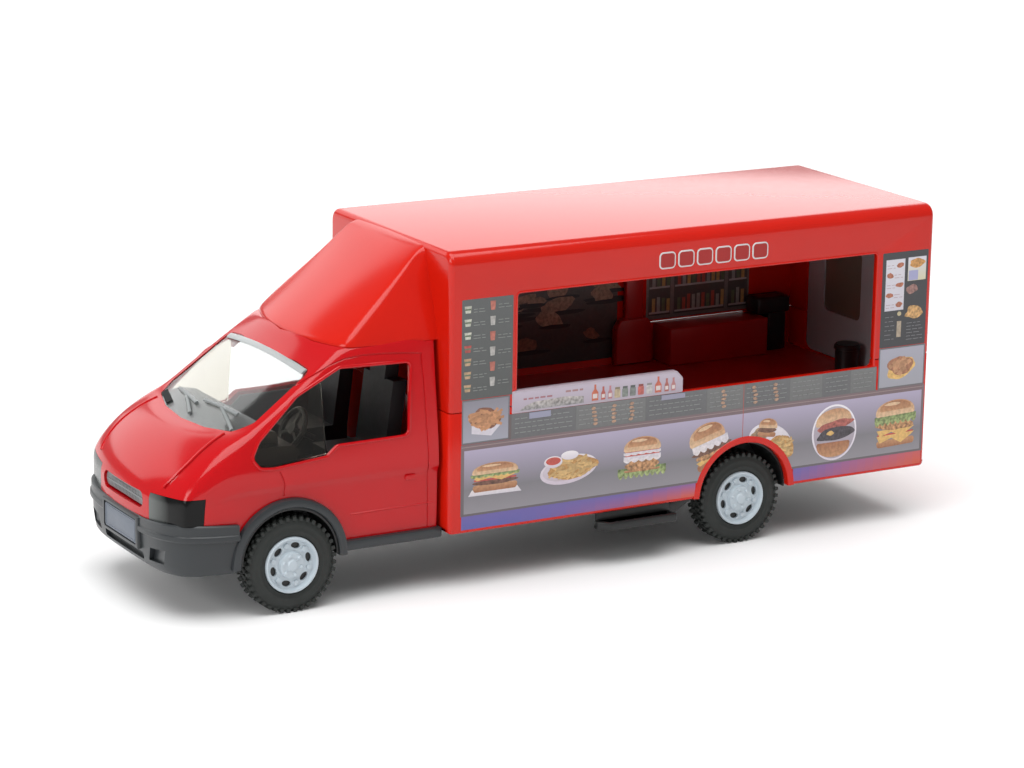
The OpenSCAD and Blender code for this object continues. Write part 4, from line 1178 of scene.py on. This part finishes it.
# place, ink, height and half width of each bottle and jar
LARGE_BOTTLE, BOTTLE, JAR = (3.3, 0.75), (2.7, 0.5), (2.2, 0.7)
BOTTLES = [
    (33.0, (0.50, 0.13, 0.07), LARGE_BOTTLE), (34.9, (0.42, 0.10, 0.08), BOTTLE),
    (36.5, (0.46, 0.20, 0.22), BOTTLE), (38.2, (0.45, 0.36, 0.24), JAR), (40.0, (0.20, 0.22, 0.20), JAR),
    (41.8, (0.18, 0.19, 0.18), JAR), (43.7, (0.48, 0.12, 0.10), JAR), (45.7, (0.50, 0.47, 0.46), JAR),
    (47.8, (0.52, 0.13, 0.08), LARGE_BOTTLE), (49.8, (0.38, 0.12, 0.10), BOTTLE),
    (51.4, (0.46, 0.20, 0.20), BOTTLE),
]
for x, ink, (tall, wide) in BOTTLES:
    z = 34.95
    if tall > 2.5:
        s.add([(x - wide, z), (x + wide, z), (x + wide, z + tall * 0.5), (x + 0.22, z + tall * 0.72),
               (x + 0.22, z + tall), (x - 0.22, z + tall), (x - 0.22, z + tall * 0.72),
               (x - wide, z + tall * 0.5)], ink, 0.3)
        s.add(rect(x - wide * 0.7, z + tall * 0.14, x + wide * 0.7, z + tall * 0.42), (0.66, 0.58, 0.56))
    else:
        s.add(rect(x - wide, z, x + wide, z + tall * 0.8, 0.2, 2), ink, 0.5)
        s.add(rect(x - wide * 0.8, z + tall * 0.8, x + wide * 0.8, z + tall), shade(ink, 0.5))
s.make("board_print")


# ---------- inside the kitchen ----------

FAR_WALL = -24.28


def wall_sheet():
    """A printed sheet on the inside of the wall across from the serving window."""
    return Sheet(lambda u, v, h: (FAR_WALL + h, u, v), lambda layer: 0.02 + 0.0015 * layer)


s = wall_sheet()
s.add(rect(15.5, 29, 68.5, 60), (0.030, 0.026, 0.024), 0.3, (0.13, 0.11, 0.10))
rng = random.Random(11)
for _ in range(26):
    a, z = rng.uniform(18, 66), rng.uniform(32, 46)
    s.add(blob(a, z, rng.uniform(2, 5), rng.uniform(0.8, 1.8), 0.2, 18, rng.random(), rng.uniform(-20, 20)),
          (0.30, 0.20, 0.13) if z > 38 else (0.22, 0.10, 0.06), 0.8)
    s.add(blob(a + 1.5, z - 1.6, rng.uniform(3, 6), 0.5, 0.15, 14, rng.random()), (0.012, 0.01, 0.01))
s.make("picture_grill")
LABELS = [(0.42, 0.10, 0.07), (0.46, 0.32, 0.12), (0.30, 0.32, 0.30), (0.12, 0.16, 0.09)]
s = wall_sheet()
s.add(rect(75.8, 36.4, 102.4, 62), (0.16, 0.15, 0.14), 0.2, (0.34, 0.32, 0.30))
for a, b in ((76.4, 82.0), (82.9, 96.0), (96.9, 101.9)):
    s.add(rect(a, 37.2, b, 61), (0.05, 0.05, 0.05), 0.2, (0.20, 0.18, 0.16))
    for shelf in range(4):
        z = 38 + 5.6 * shelf
        s.add(rect(a + 0.2, z - 0.4, b - 0.2, z), (0.42, 0.42, 0.42))
        x = a + 0.9
        while x < b - 0.8:
            tone = rng.choice(LABELS)
            s.add(rect(x, z, x + 0.8, z + rng.uniform(2.2, 3.8)), tone, 0.3)
            x += 1.25
s.make("picture_fridge")

piece(block("serving_counter", (-24.2, 77.6, 27.5), (-16.8, 102.9, 35.8), 0.35, 3), INSIDE_RED,
      replaces=["wall_cabinet"])
foot = rounded([(67.2, 27.5), (76.4, 27.5), (76.4, 35.5), (75.2, 37.6), (68.4, 37.6), (67.2, 35.5)],
               [0.1, 0.1, 1.5, 1.5, 1.5, 1.5])
pilaster = [block("post", (-24.2, 69.8, 27.5), (-22.8, 74.2, 64.4), 0.4, 3),
            prism("foot", foot, "x", -24.2, -22.1, 0.3, 3)]
piece(merge("pilaster_body", pilaster), INSIDE_RED, replaces=["wall_pilaster"])
drinks = [block("stand", (-24, 104.6, 27.5), (-19.4, 109.4, 36.2), 0.5, 3),
          block("head", (-24, 101.4, 36), (-18.8, 110, 39.8), 0.7, 3)]
piece(merge("post_body", drinks), BLACK, replaces=["drinks_post"])
# rings of the waste bin, as (radius, height)
BIN = [(2.45, 27.5), (2.65, 32.6), (2.9, 32.7), (2.9, 33.3), (2.5, 33.8)]
verts = [(x, y, z) for r, z in BIN for x, y in ellipse(3.8, 109.6, r, r, 40)]
piece(build("bin", verts, bar_faces(len(BIN), 40)), BLACK, replaces=["waste_bin"])

# rear door leaf with its window frame and handle, and the rear lamps
hole = rect(-11.6, 37.7, 2.3, 53, 1.6)
leaf = prism("leaf", rect(-17.6, 27.8, 8.3, 56.9, 1.9), "y", 113.7, 114.8, 0.15)
combine(leaf, [prism("hole", hole, "y", 112, 116)])
bead = tube("bead", [(x, 114.7, z) for x, z in hole], 0.4, 8, True, 0.7, (0, 1, 0))
pull = tube("pull", [(6.0, 114.7, 36), (6.0, 115.0, 36.6), (6.0, 115.0, 40.4), (6.0, 114.7, 41)], 0.3, 8)
piece(prism("door_pane", rect(-11.7, 37.6, 2.4, 53.1, 1.6), "y", 114.1, 114.4), PANE)
piece(merge("door_leaf", [leaf, bead, pull]), DOOR, replaces=["rear_door"])
tail = prism("tail", rect(20.05, 14.05, 23.95, 19.95, 0.5), "y", 114.4, BOX_LENGTH, 0.2)
both(tail, "tail_lamp", RED_LENS, "rear_lamp")


# ---------- underside, steps ----------

def side_step():
    """A tray with ribs, hung from the box by a web, a bracket and an arm."""
    plan = [(24, 34.4), (25.3, 34.4), (27.3, 36.4), (27.3, 52.2), (24, 52.2)]
    well = [(24.6, 35.2), (25, 35.2), (26.6, 36.8), (26.6, 51.4), (24.6, 51.4)]
    tray = combine(prism("tray", plan, "z", 7.7, 9.4, 0.3), [prism("well", well, "z", 8.6, 10)])
    ribs = [block("rib", (24.6, 37.2 + 2.1 * k, 8.5), (26.5, 37.6 + 2.1 * k, 8.8)) for k in range(7)]
    bracket = block("bracket", (20.6, 38, 8.1), (24.2, 52, 9.6), 0.2)
    web = block("web", (24, 34.6, 7.9), (24.6, 52, 11.3), 0.1)
    arm = prism("arm", [(52, 7.7), (58, 11.3), (53, 11.3), (50, 9.3)], "x", 22.4, 24.4, 0.15)
    return merge("side_step_tray", [tray, web, arm] + ribs + [bracket])


def wheel_well(name, centre, r0, r1, x0, x1):
    """The half-round lining over a wheel, with its inner wall."""
    section = [(x0, r0), (x1, r0), (x1, r1), (x0 - 0.5, r1), (x0 - 0.5, 1.6), (x0, 1.6)]
    return arch_bar(name, section, centre, 0, 180, 40)


both(wheel_well("rear_well", REAR_ARCH, 10.45, 10.8, 15.6, 24.4), "rear_well", BLACK)
both(wheel_well("front_well", ARCH, 9.95, 10.35, 15.6, 23.6), "front_well", BLACK)
both(side_step(), "side_step_tray", BLACK, "side_step")


# ---------- wheels ----------

def lug_ring(name, count, radius, angle0, template):
    """Count copies of the template set round the X axis with Geometry Nodes."""
    tree = bpy.data.node_groups.new(name, "GeometryNodeTree")
    face = tree.interface
    face.new_socket("Geometry", in_out="INPUT", socket_type="NodeSocketGeometry")
    number = face.new_socket("Count", in_out="INPUT", socket_type="NodeSocketInt")
    size = face.new_socket("Radius", in_out="INPUT", socket_type="NodeSocketFloat")
    face.new_socket("Geometry", in_out="OUTPUT", socket_type="NodeSocketGeometry")
    new, link = tree.nodes.new, tree.links.new
    given, result = new("NodeGroupInput"), new("NodeGroupOutput")
    circle = new("GeometryNodeMeshCircle")
    link(given.outputs["Count"], circle.inputs["Vertices"])
    link(given.outputs["Radius"], circle.inputs["Radius"])
    upright = new("GeometryNodeTransform")
    upright.inputs["Rotation"].default_value = (math.radians(90), 0, math.radians(90))
    link(circle.outputs["Mesh"], upright.inputs["Geometry"])
    index, turn = new("GeometryNodeInputIndex"), new("ShaderNodeMath")
    vector = new("ShaderNodeCombineXYZ")
    turn.operation = "MULTIPLY"
    turn.inputs[1].default_value = 2 * math.pi / count
    link(index.outputs[0], turn.inputs[0])
    link(turn.outputs[0], vector.inputs["X"])
    info = new("GeometryNodeObjectInfo")
    info.inputs["Object"].default_value = template
    info.inputs["As Instance"].default_value = True
    inst = new("GeometryNodeInstanceOnPoints")
    link(upright.outputs["Geometry"], inst.inputs["Points"])
    link(info.outputs["Geometry"], inst.inputs["Instance"])
    link(vector.outputs[0], inst.inputs["Rotation"])
    real, mat = new("GeometryNodeRealizeInstances"), new("GeometryNodeSetMaterial")
    mat.inputs["Material"].default_value = TYRE
    link(inst.outputs["Instances"], real.inputs["Geometry"])
    link(real.outputs["Geometry"], mat.inputs["Geometry"])
    link(mat.outputs["Geometry"], result.inputs["Geometry"])
    host = build(name, [(0, 0, 0), (1, 0, 0), (0, 1, 0)], [(0, 1, 2)])
    mod = host.modifiers.new("lugs", "NODES")
    mod.node_group = tree
    mod[number.identifier] = count
    mod[size.identifier] = radius * MM
    bake(host)
    host.data.transform(Matrix.Rotation(angle0, 4, "X"))
    return host


def lug(name, x0, x1, slant, low, high, wide):
    """One tread block round its own middle; local Y is outwards, local Z goes round the tyre."""
    verts = []
    for y, k in ((low, wide), (high, wide * 0.82)):
        verts += [(x0, y, -k), (x1, y, -k + slant), (x1, y, k + slant), (x0, y, k)]
    return build(name, [(x, y - BOX_FRONT, z) for x, y, z in verts], bar_faces(2, 4), 0.08)


# Wheels are made round the origin: build() moves every point by BOX_FRONT, so it is taken off here.
HUB_MIDDLE = (0, -BOX_FRONT, 0)
SIDEWALL = [(-2.2, 5.55), (-2.58, 5.9), (-2.62, 6.5), (-2.7, 6.6), (-2.7, 6.8), (-2.62, 6.9), (-2.62, 7.7),
            (-2.58, 8.1), (-2.45, 8.25), (-2.4, 8.7), (-2.2, 9.05), (-1.1, 9.2)]
LUGS = 40
LUG_FOOT = 9.2
# rows of lugs, from the tread's middle outwards: name, ends across, slant, foot, top, half width
LUG_ROWS = [("row", 0.3, 1.5, 0.25, -0.3, 0.38, 0.44), ("rim", 1.75, 2.6, 0.1, -0.45, 0.36, 0.42)]


def tyre_piece():
    """A tyre with two staggered rows of lugs on each half of its tread."""
    profile = SIDEWALL + [(0, 9.22)] + [(-x, r) for x, r in reversed(SIDEWALL)]
    parts = [lathe("tyre_body", profile, HUB_MIDDLE, 96)]
    for k, side in enumerate((1, -1)):
        for tag, x0, x1, slant, low, high, wide in LUG_ROWS:
            template = lug("lug", side * x0, side * x1, slant, low, high, wide)
            phase = 0.5 * k + (0.5 if tag == "rim" else 0)
            parts.append(lug_ring("%s%d" % (tag, k), LUGS, LUG_FOOT, 2 * math.pi * phase / LUGS, template))
            drop(template)
    return dress(merge("tyre", parts), TYRE)


def round_hub(radius, degrees, x):
    """The point of the hub's face at that radius and angle."""
    a = math.radians(degrees)
    return (x, -BOX_FRONT + radius * math.cos(a), radius * math.sin(a))


def hub_piece():
    """A dished hub with six oval holes, and a bolt and a boss between each two of them."""
    profile = [(-6.2, 1.0), (-6.2, 5.4), (-0.5, 5.62), (0.0, 5.55), (0.1, 5.35), (0.0, 5.1), (-0.45, 4.9),
               (-0.75, 4.75), (-0.75, 2.75), (-0.45, 2.6), (-0.1, 2.5), (0.0, 2.3), (-0.05, 1.25),
               (0.05, 1.1), (0.3, 0.95), (0.36, 0.6), (0.38, 0.0), (-1.6, 0.0), (-1.6, 1.0)]
    body = lathe("hub", profile, HUB_MIDDLE, 72)
    ring = 3.85
    holes, extra = [], []
    for k in range(6):
        oval = [(ring + r, math.radians(60 * k + 15) + t / ring) for t, r in ellipse(0, 0, 1.0, 0.62, 24)]
        outline = [(-BOX_FRONT + r * math.cos(w), r * math.sin(w)) for r, w in oval]
        holes.append(prism("hole", outline, "x", -3, 1))
        bolt = [(-0.2, 0), (-0.2, 0.42), (0.28, 0.36), (0.42, 0.2), (0.42, 0)]
        extra.append(dress(lathe("bolt", bolt, round_hub(1.95, 60 * k + 45, -0.1), 14), HUB))
        boss = [(-0.2, 0), (-0.2, 0.7), (0.3, 0.5), (0.38, 0.0)]
        extra.append(dress(lathe("boss", boss, round_hub(3.9, 60 * k + 45, -0.75), 16), HUB))
    # black discs deep inside the six holes: painted shade, so the holes look dark
    for k in range(6):
        dark = [(0, 0), (0, 1.2), (0.25, 1.1), (0.25, 0)]
        extra.append(dress(lathe("dark", dark, round_hub(ring, 60 * k + 15, -1.5), 20), BLACK))
    return merge("hub", [dress(combine(body, holes), HUB)] + extra)


tyre, hub = tyre_piece(), hub_piece()
HUB_FACE = 24.55
for place, y in (("front", FRONT_AXLE), ("rear", REAR_AXLE)):
    for side, sign in (("left", 1), ("right", -1)):
        tag, body = "%s_%s" % (place, side), place + "_wheels"
        lo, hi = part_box("tyre_" + tag)
        middle = (lo[0] + hi[0]) / 2 / MM
        part = copy(tyre, "tyre_body_" + tag, sign < 0, (middle, y + BOX_FRONT, AXLE_HEIGHT))
        piece(part, body=body, replaces=["tyre_" + tag], angle=40)
        part = copy(hub, "hub_body_" + tag, sign < 0, (sign * HUB_FACE, y + BOX_FRONT, AXLE_HEIGHT))
        piece(part, body=body, replaces=["hub_" + tag], angle=30)
drop(tyre, hub)

# ---------- CAD pieces that keep their own shape ----------

PLAIN = {"cab_floor": DEEP, "dashboard": DEEP, "steering_wheel": BLACK, "seat_left": DEEP, "seat_right": DEEP,
         "kitchen_floor": INSIDE_RED, "chassis": BLACK, "front_axle": STEEL, "rear_axle": STEEL}
for name, mat in PLAIN.items():
    dress(NODES[name], mat)


# ---------- floor, light and camera ----------

scene = bpy.context.scene
half, z = 3000, -0.02
corners = [(-half, -half, z), (half, -half, z), (half, half, z), (-half, half, z)]
floor = build("floor", corners, [(0, 1, 2, 3)])
dress(floor, FLOOR)
world = bpy.data.worlds.new("studio")
scene.world = world
world.use_nodes = True
world.node_tree.nodes["Background"].inputs["Color"].default_value = (1, 1, 1, 1)
world.node_tree.nodes["Background"].inputs["Strength"].default_value = 0.28
scene.view_settings.view_transform = "Standard"


def soft_light(name, spot, aim, size, power):
    data = bpy.data.lights.new(name, "AREA")
    data.shape, data.size, data.size_y, data.energy = "RECTANGLE", size[0], size[1], power
    light = bpy.data.objects.new(name, data)
    light.location = spot
    light.rotation_euler = (Vector(aim) - Vector(spot)).to_track_quat("-Z", "Y").to_euler()
    light.visible_camera = False
    scene.collection.objects.link(light)


soft_light("overhead", (0.35, -0.2, 2.0), (0, 0, 0), (2.0, 2.0), 46)
soft_light("front", (0.35, -1.5, 0.7), (0, 0, 0.03), (0.9, 0.7), 9)
soft_light("behind", (-1.8, 1.25, 0.75), (0, 0, 0.06), (2.3, 1.2), 13)
soft_light("side", (-2.0, -0.65, 0.9), (0, 0, 0.05), (1.7, 1.1), 8)

az, el, roll = math.radians(60.254), math.radians(14.252), math.radians(0.857)
back = Vector((math.sin(az) * math.cos(el), -math.cos(az) * math.cos(el), math.sin(el)))
right = Vector((0, 0, 1)).cross(back).normalized()
up = back.cross(right)
cam_x = right * math.cos(roll) + up * math.sin(roll)
cam_y = -right * math.sin(roll) + up * math.cos(roll)
camera = bpy.data.objects.new("camera", bpy.data.cameras.new("camera"))
camera.data.sensor_width, camera.data.lens = 36, 118.5
camera.data.clip_start, camera.data.clip_end = 0.01, 10
camera.matrix_world = Matrix((cam_x, cam_y, back)).transposed().to_4x4()
camera.location = (0.58163, -0.33194, 0.20310)
scene.collection.objects.link(camera)
scene.camera = camera
